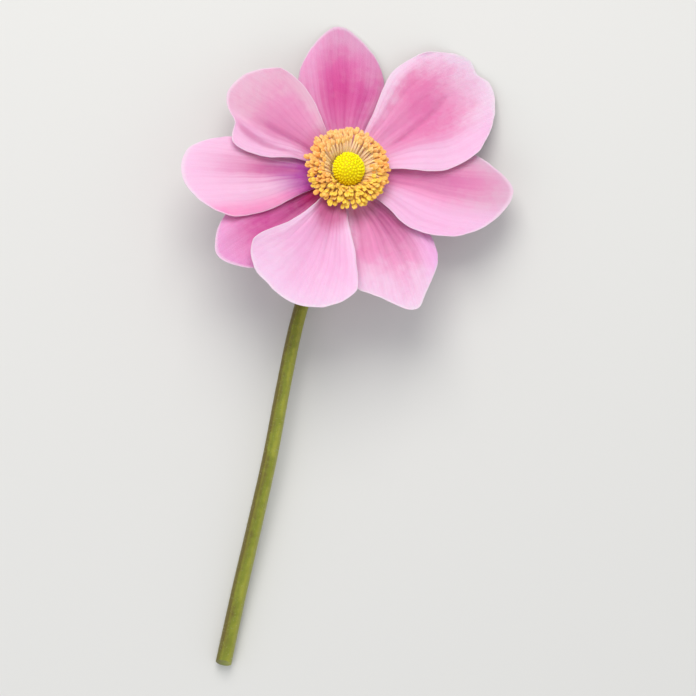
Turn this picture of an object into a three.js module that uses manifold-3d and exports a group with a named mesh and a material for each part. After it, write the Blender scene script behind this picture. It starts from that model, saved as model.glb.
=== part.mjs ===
// Japanese anemone flower, cut with its stem and lying face up on a flat surface.
// Millimetres. +Z is up, +Y runs from the stem's cut end towards the flower, and the
// surface is the plane z = 0. Shapes on the flower are made in the flower frame: its
// origin is the flower's centre and its Z runs out along the flower's own axis.

import * as THREE from "three";
import { mergeVertices } from "three/addons/utils/BufferGeometryUtils.js";
import Module from "manifold-3d";

const { clamp, degToRad, lerp, smoothstep } = THREE.MathUtils;

// ---- Placing of the flower on the surface -------------------------------------------
const FLOWER_CENTRE = new THREE.Vector3(-0.9, 38, 9.88);
const AXIS_TILT = degToRad(22);
const AXIS_HEADING = degToRad(64);

// ---- Tepals -------------------------------------------------------------------------
const TEPAL_THICKNESS = 0.65;
const CLAW_START = 3.6;
const CLAW_HALF_WIDTH = 1.7;
const ACROSS_STEPS = 10;
const ALONG_STEPS = 14;
// The whole flower is a shallow saucer that flattens towards its edge.
const SAUCER_RISE = 0.158;
const SAUCER_FLATTENING = 0.0019;
// Heights of the three layers of tepals on the flower's axis.
const TOP_LAYER = 0.6;
const MIDDLE_LAYER = -0.4;
const BOTTOM_LAYER = -1.4;
// The claws lie flat; edges, ripples and groove come in along this share of the blade.
const RELIEF_FROM = 0.06;
const RELIEF_TO = 0.45;
const EDGE_POWER = 2.2;
const RIPPLE_POWER = 3;
const RIPPLE_WAVES = 1.7;
const RIPPLE_SKEW = 0.3;
const GROOVE_WIDTH = 0.22;

// outline: [distance out, offset] up the clockwise edge (3 points), round the end
// (3 points) and back down the other edge (3 points).
// edgeLifts: how far the clockwise and the other edge stand above the saucer, or below
// it where the edge lies under its neighbour.
const TEPALS = [
  {
    name: "tepal_1",
    color: "#df6cab",
    azimuth: 90.2,
    layer: BOTTOM_LAYER,
    edgeLifts: [-0.7, -0.7],
    tipRise: 0,
    groove: 0.2,
    ripple: 0,
    outline: [[10, -5.4], [17, -9.3], [23, -9.4], [29, -5.6], [33, 0.2], [29, 5.6],
      [22.5, 9.4], [16.5, 9.6], [9.5, 6]],
  },
  {
    name: "tepal_2",
    color: "#f0a0cb",
    azimuth: 34,
    layer: TOP_LAYER,
    edgeLifts: [1, 1.5],
    tipRise: -0.02,
    groove: 0.45,
    ripple: 0.25,
    outline: [[9, -5.4], [18, -12], [27, -12.8], [35, -7.8], [38.2, -1], [37.2, 7],
      [30.5, 12.4], [22, 12.9], [12, 7]],
  },
  {
    name: "tepal_3",
    color: "#f09fc6",
    azimuth: -9,
    layer: MIDDLE_LAYER,
    edgeLifts: [0.9, -0.6],
    tipRise: 0.6,
    groove: 0.4,
    ripple: 0.15,
    outline: [[8.5, -5.4], [16, -10.8], [25.5, -11.2], [33, -6.6], [37.2, 1.8], [31.5, 7.2],
      [24.5, 9.8], [17, 9.4], [10, 6.3]],
  },
  {
    name: "tepal_4",
    color: "#efa3cd",
    azimuth: -66,
    layer: BOTTOM_LAYER,
    edgeLifts: [-0.7, -0.7],
    tipRise: 0.3,
    groove: 0.2,
    ripple: 0,
    outline: [[8.3, -4], [15, -8.2], [23, -10.6], [30, -5.6], [34.8, -0.3], [32.5, 5.2],
      [26, 10.8], [19, 11.4], [11, 7.6]],
  },
  {
    name: "tepal_5",
    color: "#f8c9e2",
    azimuth: -113,
    layer: TOP_LAYER,
    edgeLifts: [1.3, 1.1],
    tipRise: 0.6,
    groove: 0.35,
    ripple: 0.25,
    outline: [[8.7, -3.8], [17, -8.4], [25.5, -12.2], [32, -6.4], [34.6, 1.2], [32.2, 7.8],
      [26, 12.6], [19, 10.6], [10, 4.6]],
  },
  {
    name: "tepal_6",
    color: "#cf78b0",
    azimuth: 214,
    layer: BOTTOM_LAYER,
    edgeLifts: [-0.7, -0.7],
    tipRise: -0.4,
    groove: 0.2,
    ripple: 0,
    outline: [[9, -3.8], [17, -7.2], [26, -7], [32.6, -3.4], [35.2, 0.9], [32.2, 5.8],
      [26, 9.2], [17.5, 8.2], [9.5, 4.9]],
  },
  {
    name: "tepal_7",
    color: "#f3b4d6",
    azimuth: 185.5,
    layer: MIDDLE_LAYER,
    edgeLifts: [-0.6, 1],
    tipRise: 0.8,
    groove: 0.35,
    ripple: 0.15,
    outline: [[8.1, -4.5], [16, -7.9], [27, -9.3], [34.8, -6.4], [36.4, -0.2], [33, 5.6],
      [26.5, 9.2], [18.5, 9.2], [10, 5.4]],
  },
  {
    name: "tepal_8",
    color: "#ee9fc9",
    azimuth: 145,
    layer: TOP_LAYER,
    edgeLifts: [1.3, 1],
    tipRise: 0.2,
    groove: 0.5,
    ripple: 0.25,
    outline: [[8.9, -5.2], [16, -9.6], [24.5, -10], [29.8, -5.4], [31, 0.6], [28, 5.8],
      [23, 9.6], [16, 8.4], [9.5, 3.9]],
  },
];

// ---- Stem and receptacle ------------------------------------------------------------
const RECEPTACLE_TOP = 0.95;
const RECEPTACLE_MIDDLE = -1;
const RECEPTACLE_BOTTOM = -2.9;
const RECEPTACLE_RADIUS = 3.3;
// Distances from the receptacle's top between which it narrows to the stem.
const FLARE_FROM = 2.9;
const FLARE_TO = 6;
const NECK_RADIUS = 1.45;
const CUT_END_RADIUS = 1.75;
const CUT_SLANT = 0.45;
const STEM_SIDES = 10;
const STEM_STATIONS = 44;
// First station's spacing as a share of the average, so the neck's bend stays smooth.
const STATION_START = 0.25;
// The stem below the receptacle: x and y from the flower's centre, height on the surface.
const STEM_PATH = [
  [-1.05, -2.9, 4.1], [-2.2, -6.2, 2.5], [-4.2, -12.5, 2.6], [-7.2, -22, 3.9],
  [-10.4, -33, 5.3], [-13.3, -46.8, 6.1], [-16.2, -62, 5.9], [-19.6, -77, 4.7],
  [-23, -91.5, 3.05], [-26.4, -107, 1.81],
];

// ---- Stamens ------------------------------------------------------------------------
const STAMENS_PER_ROW = 30;
const STAMEN_SEED = 7;
const STAMEN_SIDES = 4;
const COLLAR_SIDES = 30;
// Half section of the collar that the stamens grow from, [radius, height].
const COLLAR_PROFILE = [[0, 1.25], [3.2, 1.25], [3.2, 1.85], [4.3, 1.85], [4.3, 2.2],
  [3.2, 2.9], [0, 2.9]];
// Outermost to innermost row, [distance from the axis, height]: where the filaments
// leave the collar's sloping shoulder and where their tips reach.
const STAMEN_ROWS = [
  { root: [4.15, 2.3], tip: [9.5, 4.2] },
  { root: [3.75, 2.55], tip: [8.3, 5.1] },
  { root: [3.35, 2.8], tip: [7.1, 5.9] },
];
const ROOT_SINK = 0.45;
const TIP_SCATTER = 0.9;
const STEP_SCATTER = 0.3;
const FILAMENT_ROOT_RADIUS = 0.22;
// Top of the filament and its anther, [radius, distance back from the tip].
const ANTHER_PROFILE = [[0.16, 1.6], [0.48, 1.2], [0.48, 0.35], [0, 0]];

// ---- Pistil head --------------------------------------------------------------------
const PISTIL_RADIUS = 3.6;
const PISTIL_HALF_HEIGHT = 3.1;
const PISTIL_CENTRE = 4.9;
const PISTIL_UNDERSIDE = 3.2;
// How far the head sits from the flower's axis, towards the stem's side.
const PISTIL_OFFSET = -0.6;
const PISTIL_SIDES = 28;
const PISTIL_RINGS = 16;
const BUMP_HEIGHT = 0.12;
const BUMPS_AROUND = 14;
const BUMPS_DOWN = 8;

// ---- Shared helpers -----------------------------------------------------------------
const wasm = await Module();
wasm.setup();

const UP = new THREE.Vector3(0, 0, 1);
const tiltAxis = new THREE.Vector3(-Math.sin(AXIS_HEADING), Math.cos(AXIS_HEADING), 0);
const flowerMatrix = new THREE.Matrix4()
  .makeRotationAxis(tiltAxis, AXIS_TILT)
  .setPosition(FLOWER_CENTRE);

function seededRandom(seed) {
  let state = seed;
  return () => {
    state = (state * 1664525 + 1013904223) % 4294967296;
    return state / 4294967296;
  };
}

function weld(geometry) {
  geometry.deleteAttribute("normal");
  geometry.deleteAttribute("uv");
  return mergeVertices(geometry, 1e-4);
}

function toSolid(geometry) {
  const welded = weld(geometry);
  return new wasm.Manifold(new wasm.Mesh({
    numProp: 3,
    vertProperties: new Float32Array(welded.attributes.position.array),
    triVerts: new Uint32Array(welded.index.array),
  }));
}

function fromSolid(solid) {
  const mesh = solid.getMesh();
  const geometry = new THREE.BufferGeometry();
  geometry.setAttribute("position", new THREE.BufferAttribute(mesh.vertProperties, 3));
  geometry.setIndex(new THREE.BufferAttribute(mesh.triVerts, 1));
  return geometry;
}

// Solid of revolution about Y from a half section that starts and ends on the axis.
function turned(profile, sides) {
  const points = profile.map(([radius, height]) => new THREE.Vector2(radius, height));
  return new THREE.LatheGeometry(points, sides);
}

function piece(name, geometry, color, roughness) {
  geometry.computeVertexNormals();
  const material = new THREE.MeshStandardMaterial({ color, roughness, metalness: 0 });
  const mesh = new THREE.Mesh(geometry, material);
  mesh.name = name;
  return mesh;
}

// ---- Tepal blades -------------------------------------------------------------------
// Outline from the clockwise corner of the claw round the end to its other corner. Of
// its 10 spans, the first 3 are one edge, the middle 4 the end, the last 3 the other edge.
const EDGE_SHARE = 3 / 10;

function outlineCurve(tepal) {
  const clawCorners = [-1, 1].map((side) => [CLAW_START, side * CLAW_HALF_WIDTH]);
  const points = [clawCorners[0], ...tepal.outline, clawCorners[1]];
  return new THREE.CatmullRomCurve3(
    points.map(([out, offset]) => new THREE.Vector3(out, offset, 0)),
    false,
    "centripetal",
  );
}

// Point of the flat blade, as a patch stretched between claw, edges and end.
// side runs from -1 (clockwise edge) to 1, along from 0 (claw) to 1 (end).
function patchPoint(outline, side, along) {
  const toOther = (side + 1) / 2;
  const toClockwise = 1 - toOther;
  const point = new THREE.Vector3(CLAW_START, side * CLAW_HALF_WIDTH, 0)
    .multiplyScalar(1 - along)
    .addScaledVector(outline.getPoint(lerp(EDGE_SHARE, 1 - EDGE_SHARE, toOther)), along);
  const sides = [
    { weight: toClockwise, edge: EDGE_SHARE * along, claw: 0, end: EDGE_SHARE },
    { weight: toOther, edge: 1 - EDGE_SHARE * along, claw: 1, end: 1 - EDGE_SHARE },
  ];
  for (const { weight, edge, claw, end } of sides) {
    point.addScaledVector(outline.getPoint(edge), weight);
    point.addScaledVector(outline.getPoint(claw), -weight * (1 - along));
    point.addScaledVector(outline.getPoint(end), -weight * along);
  }
  return point;
}

// Point of the blade's middle surface in the flower frame.
function bladePoint(tepal, outline, side, along) {
  const point = patchPoint(outline, side, along);
  const distance = point.length();
  const saucer = SAUCER_RISE * distance - SAUCER_FLATTENING * distance ** 2;
  const edgeLift = tepal.edgeLifts[side < 0 ? 0 : 1] * Math.abs(side) ** EDGE_POWER;
  const wave = Math.sin(2 * Math.PI * (RIPPLE_WAVES * along + RIPPLE_SKEW * side));
  const ripple = tepal.ripple * Math.abs(side) ** RIPPLE_POWER * wave;
  const groove = tepal.groove * Math.exp(-((side / GROOVE_WIDTH) ** 2)) * (1 - along ** 4);
  const relief = smoothstep(along, RELIEF_FROM, RELIEF_TO) * (edgeLift + ripple - groove);
  point.z = tepal.layer + saucer + relief + tepal.tipRise * along ** 3;
  return point.applyAxisAngle(UP, degToRad(tepal.azimuth));
}

function bladeNormal(tepal, outline, side, along) {
  const step = 0.01;
  const s = clamp(side, step - 1, 1 - step);
  const a = clamp(along, step, 1 - step);
  const across = bladePoint(tepal, outline, s + step, a)
    .sub(bladePoint(tepal, outline, s - step, a));
  const outward = bladePoint(tepal, outline, s, a + step)
    .sub(bladePoint(tepal, outline, s, a - step));
  return outward.cross(across).normalize();
}

// Grid indices round the border of the blade, as one closed loop.
function rimLoop() {
  const row = ACROSS_STEPS + 1;
  const loop = [];
  for (let i = 0; i < ACROSS_STEPS; i += 1) {
    loop.push(i);
  }
  for (let j = 0; j < ALONG_STEPS; j += 1) {
    loop.push(j * row + ACROSS_STEPS);
  }
  for (let i = ACROSS_STEPS; i > 0; i -= 1) {
    loop.push(ALONG_STEPS * row + i);
  }
  for (let j = ALONG_STEPS; j > 0; j -= 1) {
    loop.push(j * row);
  }
  return loop;
}

// A blade of even thickness: both faces are split into the same triangles.
function tepalGeometry(tepal) {
  const outline = outlineCurve(tepal);
  const grid = new THREE.PlaneGeometry(2, 1, ACROSS_STEPS, ALONG_STEPS);
  const gridPoints = grid.attributes.position;
  const under = gridPoints.count;
  const positions = [];
  for (const face of [1, -1]) {
    for (let i = 0; i < gridPoints.count; i += 1) {
      const side = gridPoints.getX(i);
      const along = gridPoints.getY(i) + 0.5;
      const point = bladePoint(tepal, outline, side, along);
      const normal = bladeNormal(tepal, outline, side, along);
      point.addScaledVector(normal, (face * TEPAL_THICKNESS) / 2);
      positions.push(...point);
    }
  }
  const indices = [];
  for (let i = 0; i < grid.index.count; i += 3) {
    const [a, b, c] = grid.index.array.slice(i, i + 3);
    indices.push(a, c, b);
    indices.push(a + under, b + under, c + under);
  }
  const rim = rimLoop();
  rim.forEach((here, i) => {
    const next = rim[(i + 1) % rim.length];
    indices.push(next, here, here + under);
    indices.push(next, here + under, next + under);
  });
  const geometry = new THREE.BufferGeometry();
  geometry.setAttribute("position", new THREE.Float32BufferAttribute(positions, 3));
  geometry.setIndex(indices);
  return geometry.applyMatrix4(flowerMatrix);
}

// ---- Stem with its receptacle -------------------------------------------------------
function stemCurve() {
  const receptacle = [RECEPTACLE_TOP, RECEPTACLE_MIDDLE, RECEPTACLE_BOTTOM]
    .map((height) => new THREE.Vector3(0, 0, height).applyMatrix4(flowerMatrix));
  const below = STEM_PATH.map(([x, y, height]) => new THREE.Vector3(
    FLOWER_CENTRE.x + x,
    FLOWER_CENTRE.y + y,
    height,
  ));
  return new THREE.CatmullRomCurve3([...receptacle, ...below], false, "centripetal");
}

function stemRadius(distance, length) {
  const shaft = lerp(NECK_RADIUS, CUT_END_RADIUS, distance / length);
  return lerp(RECEPTACLE_RADIUS, shaft, smoothstep(distance, FLARE_FROM, FLARE_TO));
}

function stemGeometry() {
  const curve = stemCurve();
  const length = curve.getLength();
  const geometry = new THREE.CylinderGeometry(1, 1, 1, STEM_SIDES, STEM_STATIONS);
  const points = geometry.attributes.position;
  for (let i = 0; i < points.count; i += 1) {
    const station = 0.5 - points.getY(i);
    const fraction = station * lerp(STATION_START, 1, station);
    const tangent = curve.getTangentAt(fraction);
    const side = new THREE.Vector3(1, 0, 0).addScaledVector(tangent, -tangent.x).normalize();
    const rise = new THREE.Vector3().crossVectors(tangent, side);
    const radius = stemRadius(fraction * length, length);
    const slant = station === 1 ? CUT_SLANT * radius * points.getZ(i) : 0;
    const point = curve.getPointAt(fraction)
      .addScaledVector(side, radius * points.getX(i))
      .addScaledVector(rise, radius * points.getZ(i))
      .addScaledVector(tangent, -slant);
    points.setXYZ(i, ...point);
  }
  return weld(geometry);
}

// ---- Stamens ------------------------------------------------------------------------
// A straight filament leans outwards from the collar and swells into its anther.
function stamenSolid(row, angle, random) {
  const outward = new THREE.Vector3(Math.cos(angle), Math.sin(angle), 0);
  const [rootReach, rootHeight] = row.root;
  const [tipReach, tipHeight] = row.tip.map((value) => value + TIP_SCATTER * (random() - 0.5));
  const root = outward.clone().multiplyScalar(rootReach).setZ(rootHeight);
  const tip = outward.clone().multiplyScalar(tipReach).setZ(tipHeight);
  const direction = tip.clone().sub(root).normalize();
  const length = tip.distanceTo(root) + ROOT_SINK;
  const profile = [
    [0, -length],
    [FILAMENT_ROOT_RADIUS, -length],
    ...ANTHER_PROFILE.map(([radius, back]) => [radius, -back]),
  ];
  const yAxis = new THREE.Vector3(0, 1, 0);
  const stamen = turned(profile, STAMEN_SIDES)
    .applyQuaternion(new THREE.Quaternion().setFromUnitVectors(yAxis, direction))
    .translate(...tip);
  return toSolid(stamen);
}

function stamensGeometry() {
  const random = seededRandom(STAMEN_SEED);
  const collar = turned(COLLAR_PROFILE, COLLAR_SIDES).rotateX(Math.PI / 2);
  const solids = [toSolid(collar)];
  STAMEN_ROWS.forEach((row, rowIndex) => {
    for (let i = 0; i < STAMENS_PER_ROW; i += 1) {
      const step = i + rowIndex / STAMEN_ROWS.length + STEP_SCATTER * (random() - 0.5);
      solids.push(stamenSolid(row, (2 * Math.PI * step) / STAMENS_PER_ROW, random));
    }
  });
  return fromSolid(wasm.Manifold.union(solids)).applyMatrix4(flowerMatrix);
}

// ---- Pistil head --------------------------------------------------------------------
// A bumpy, slightly flattened ball with a flat underside.
function pistilGeometry() {
  const geometry = new THREE.SphereGeometry(1, PISTIL_SIDES, PISTIL_RINGS).rotateX(Math.PI / 2);
  const points = geometry.attributes.position;
  for (let i = 0; i < points.count; i += 1) {
    const direction = new THREE.Vector3().fromBufferAttribute(points, i);
    const around = Math.atan2(direction.y, direction.x);
    const down = Math.acos(clamp(direction.z, -1, 1));
    const pattern = Math.cos(BUMPS_AROUND * around) * Math.cos(BUMPS_DOWN * down);
    const bump = BUMP_HEIGHT * pattern * Math.sin(down);
    const point = direction.clone().multiplyScalar(PISTIL_RADIUS + bump);
    const height = PISTIL_CENTRE + direction.z * (PISTIL_HALF_HEIGHT + bump);
    points.setXYZ(i, point.x, point.y + PISTIL_OFFSET, Math.max(height, PISTIL_UNDERSIDE));
  }
  return weld(geometry).applyMatrix4(flowerMatrix);
}

// ---- Assembly -----------------------------------------------------------------------
const flower = new THREE.Group();
flower.name = "japanese_anemone_flower";
flower.add(piece("stem", stemGeometry(), "#7a8a34", 0.75));
for (const tepal of TEPALS) {
  flower.add(piece(tepal.name, tepalGeometry(tepal), tepal.color, 0.7));
}
flower.add(piece("stamens", stamensGeometry(), "#f3ae5f", 0.8));
flower.add(piece("pistil_head", pistilGeometry(), "#e9d02a", 0.7));

export default flower;
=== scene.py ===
"""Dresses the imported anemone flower: one flower, cut with its stem and lying face up.

Sizes are millimetres. A shape on the flower is made in the flower frame, whose origin is
the flower's centre and whose Z runs out along its axis, and the stem is made in the part's
frame. Each mesh is brought to metres in the part's frame when it becomes a piece.
"""

import logging
import math
import random
from abc import ABC, abstractmethod
from collections.abc import Callable, Iterable, Mapping, Sequence
from dataclasses import dataclass, replace
from enum import Enum

import bmesh
import bpy
from mathutils import Matrix, Vector, noise


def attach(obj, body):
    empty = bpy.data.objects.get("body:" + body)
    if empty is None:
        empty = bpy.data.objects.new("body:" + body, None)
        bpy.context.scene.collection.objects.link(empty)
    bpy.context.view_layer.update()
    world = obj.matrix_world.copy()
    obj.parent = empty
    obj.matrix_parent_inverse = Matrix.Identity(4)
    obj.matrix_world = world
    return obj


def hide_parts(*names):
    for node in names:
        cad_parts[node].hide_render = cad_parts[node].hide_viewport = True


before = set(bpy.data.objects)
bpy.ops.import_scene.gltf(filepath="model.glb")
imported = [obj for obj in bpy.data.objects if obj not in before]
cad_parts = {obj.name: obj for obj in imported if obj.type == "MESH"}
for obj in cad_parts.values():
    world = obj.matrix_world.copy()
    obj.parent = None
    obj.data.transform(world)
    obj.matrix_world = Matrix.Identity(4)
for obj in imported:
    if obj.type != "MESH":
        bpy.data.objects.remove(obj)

log = logging.getLogger("anemone")

METRES = 0.001
BODY = "root"
BLADE_MAP = "blade"
ROUNDING = 1e-9
SHORTEST = 1e-8
PLACE_DIGITS = 5

Colour = tuple[float, float, float, float]
Tint = tuple[float, float, float]
Feed = bpy.types.NodeSocket | float | Colour | Tint
Limits = tuple[float, float]


class Layer(Enum):
    """Height of a ring of tepals on the flower's axis."""

    TOP = 0.6
    MIDDLE = -0.4
    BOTTOM = -1.4


class Face(Enum):
    """The two faces of a tepal, numbered as their material slots."""

    UPPER = 0
    UNDER = 1


class Side(Enum):
    """The two sides of a tepal, as the flower is seen from above."""

    CLOCKWISE = -1.0
    ANTICLOCKWISE = 1.0


class Mark(Enum):
    """Numbers that a mesh's vertices carry, for its material to read."""

    # depth of a tepal's grooves, which its material darkens as painted shade
    HOLLOW = "hollow"
    ACROSS = "across"
    RIB = "rib"
    TOP = "top"
    CUT = "cut"
    REACH = "reach"
    TONE = "tone"
    SEAM = "seam"
    # how far a point of the pistil head faces the light, which leads its painted shade
    HEIGHT = "height"

    def layer(self, bm: bmesh.types.BMesh) -> bmesh.types.BMLayerItem:
        """Adds this number to a mesh's vertices, as 0 on each."""
        return bm.verts.layers.float.new(self.value)


# ---- Small sums ------------------------------------------------------------------------


def lerp(start: float, end: float, share: float) -> float:
    """Value at a share of the way from start to end."""
    return start + (end - start) * share


def smoothstep(value: float, low: float, high: float) -> float:
    """Smooth rise from 0 at low to 1 at high."""
    share = min(max((value - low) / (high - low), 0.0), 1.0)
    return share * share * (3 - 2 * share)


def scattered(chance: random.Random, half_width: float) -> Vector:
    """Random vector whose three parts are at most half_width."""
    return Vector([chance.uniform(-half_width, half_width) for _ in range(3)])


def linear(code: str) -> Colour:
    """Linear colour of an sRGB hex code.

    Args:
        code: the code, such as #f3b4d6.

    Returns:
        Red, green, blue and an alpha of 1.
    """
    parts = [int(code[i : i + 2], 16) / 255 for i in (1, 3, 5)]
    red, green, blue = (
        part / 12.92 if part <= 0.04045 else ((part + 0.055) / 1.055) ** 2.4
        for part in parts
    )
    return red, green, blue, 1.0


@dataclass(frozen=True)
class Spline:
    """Centripetal Catmull-Rom curve through its points."""

    points: tuple[Vector, ...]

    def at(self, share: float) -> Vector:
        """Point of the curve.

        Args:
            share: place on the curve, in which each span between two points counts alike.

        Returns:
            The point.
        """
        spans = len(self.points) - 1
        span = min(int(share * spans + ROUNDING), spans - 1)
        weight = share * spans - span
        here, after = self.points[span], self.points[span + 1]
        before = self.points[span - 1] if span else 2 * here - after
        beyond = self.points[span + 2] if span + 2 <= spans else 2 * after - here
        gap_before = math.sqrt(max((here - before).length, SHORTEST))
        gap = math.sqrt(max((after - here).length, SHORTEST))
        gap_beyond = math.sqrt(max((beyond - after).length, SHORTEST))
        leave = (
            (here - before) / gap_before
            - (after - before) / (gap_before + gap)
            + (after - here) / gap
        ) * gap
        arrive = (
            (after - here) / gap
            - (beyond - here) / (gap + gap_beyond)
            + (beyond - after) / gap_beyond
        ) * gap
        square = 3 * (after - here) - 2 * leave - arrive
        cube = 2 * (here - after) + leave + arrive
        return here + leave * weight + square * weight**2 + cube * weight**3


class MeasuredSpline:
    """A spline that is read by distance along it."""

    def __init__(self, spline: Spline, samples: int = 600, reach: float = 0.05) -> None:
        """Measures the spline.

        Args:
            spline: the curve to measure.
            samples: number of straight steps that it is measured in.
            reach: how far on each side of a point its direction is read.
        """
        self.spline = spline
        self.reach = reach
        self.marks = [0.0]
        last = spline.at(0.0)
        for i in range(1, samples + 1):
            point = spline.at(i / samples)
            self.marks.append(self.marks[-1] + (point - last).length)
            last = point
        self.length = self.marks[-1]

    def _share_at(self, distance: float) -> float:
        """Finds a place on the spline by halving.

        Args:
            distance: distance along the curve.

        Returns:
            The place, as a share of the spline's spans.
        """
        low, high = 0, len(self.marks) - 1
        while high - low > 1:
            middle = (low + high) // 2
            if self.marks[middle] <= distance:
                low = middle
            else:
                high = middle
        step = self.marks[high] - self.marks[low]
        inside = (distance - self.marks[low]) / step if step else 0.0
        return (low + min(max(inside, 0.0), 1.0)) / (len(self.marks) - 1)

    def at(self, distance: float) -> Vector:
        """Point that lies a distance along the curve."""
        return self.spline.at(self._share_at(distance))

    def tangent(self, distance: float) -> Vector:
        """Direction of the curve at a distance along it."""
        ahead = self.at(min(distance + self.reach, self.length))
        return (ahead - self.at(max(distance - self.reach, 0.0))).normalized()


@dataclass(frozen=True)
class FlowerStand:
    """Where the flower's centre stands, and how its axis leans."""

    centre: tuple[float, float, float] = (-0.9, 38.0, 9.88)
    tilt_degrees: float = 22.0
    heading_degrees: float = 64.0

    def matrix(self) -> Matrix:
        """Places the flower.

        Returns:
            Matrix from the flower frame to the part's frame, both in millimetres.
        """
        heading = math.radians(self.heading_degrees)
        axis = Vector((-math.sin(heading), math.cos(heading), 0))
        turn = Matrix.Rotation(math.radians(self.tilt_degrees), 4, axis)
        return Matrix.Translation(self.centre) @ turn


STAND = FlowerStand()


# ---- Meshes and pieces -----------------------------------------------------------------


def make_piece(
    bm: bmesh.types.BMesh,
    name: str,
    placed: Matrix,
    materials: Sequence[bpy.types.Material],
    node: str,
) -> bpy.types.Object:
    """Turns a finished mesh into a piece that stands for a solid of the frame.

    Args:
        bm: the mesh, in millimetres. It is freed.
        name: name of the piece.
        placed: matrix from the mesh's own frame to the part's frame.
        materials: materials of its slots.
        node: the solid that the piece replaces.

    Returns:
        The piece's object, which sits at the origin.
    """
    bmesh.ops.transform(bm, matrix=Matrix.Scale(METRES, 4) @ placed, verts=bm.verts)
    for surface in bm.faces:
        surface.smooth = True
    mesh = bpy.data.meshes.new(name)
    bm.to_mesh(mesh)
    bm.free()
    for material in materials:
        mesh.materials.append(material)
    piece = bpy.data.objects.new(name, mesh)
    bpy.context.scene.collection.objects.link(piece)
    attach(piece, BODY)
    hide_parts(node)
    return piece


def straight_tube(bm: bmesh.types.BMesh, sides: int, stations: int) -> None:
    """Adds a closed tube of radius 1 that runs along Z from 0 to 1.

    Args:
        bm: mesh that the tube is added to. It has nothing else in it yet.
        sides: number of sides.
        stations: number of rings of faces along it.
    """
    bmesh.ops.create_cone(
        bm, cap_ends=True, segments=sides, radius1=1, radius2=1, depth=1
    )
    lengthwise = [e for e in bm.edges if abs(e.verts[0].co.z - e.verts[1].co.z) > 0.5]
    bmesh.ops.subdivide_edges(bm, edges=lengthwise, cuts=stations - 1)
    bmesh.ops.translate(bm, vec=(0, 0, 0.5), verts=bm.verts)


def place_on(
    verts: Iterable[bmesh.types.BMVert],
    where: Callable[[Vector], Vector],
) -> None:
    """Moves each vertex to the place that a function gives for it."""
    for vert in verts:
        vert.co = where(vert.co.copy())


def turned_to(direction: Vector) -> Matrix:
    """Turn that brings Z to a direction."""
    return direction.to_track_quat("Z", "Y").to_matrix().to_4x4()


class Copies:
    """Adds many placed copies of one small mesh to a mesh."""

    def __init__(self, bm: bmesh.types.BMesh, pattern: bmesh.types.BMesh) -> None:
        """Keeps the pattern as a mesh.

        Args:
            bm: mesh that receives the copies.
            pattern: the small mesh. It is freed.
        """
        self.bm = bm
        self.mesh = bpy.data.meshes.new("pattern")
        pattern.to_mesh(self.mesh)
        pattern.free()

    def add(
        self, marks: Mapping[bmesh.types.BMLayerItem, float] | None = None
    ) -> list[bmesh.types.BMVert]:
        """Adds one copy.

        Args:
            marks: number that each of these layers holds all over the copy.

        Returns:
            The copy's vertices.
        """
        known = len(self.bm.verts)
        self.bm.from_mesh(self.mesh)
        self.bm.verts.ensure_lookup_table()
        verts = list(self.bm.verts[known:])
        for layer, value in (marks or {}).items():
            for vert in verts:
                vert[layer] = value
        return verts

    def done(self) -> None:
        """Removes the pattern once all copies are made."""
        bpy.data.meshes.remove(self.mesh)


# ---- Shader graphs ---------------------------------------------------------------------


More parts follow.
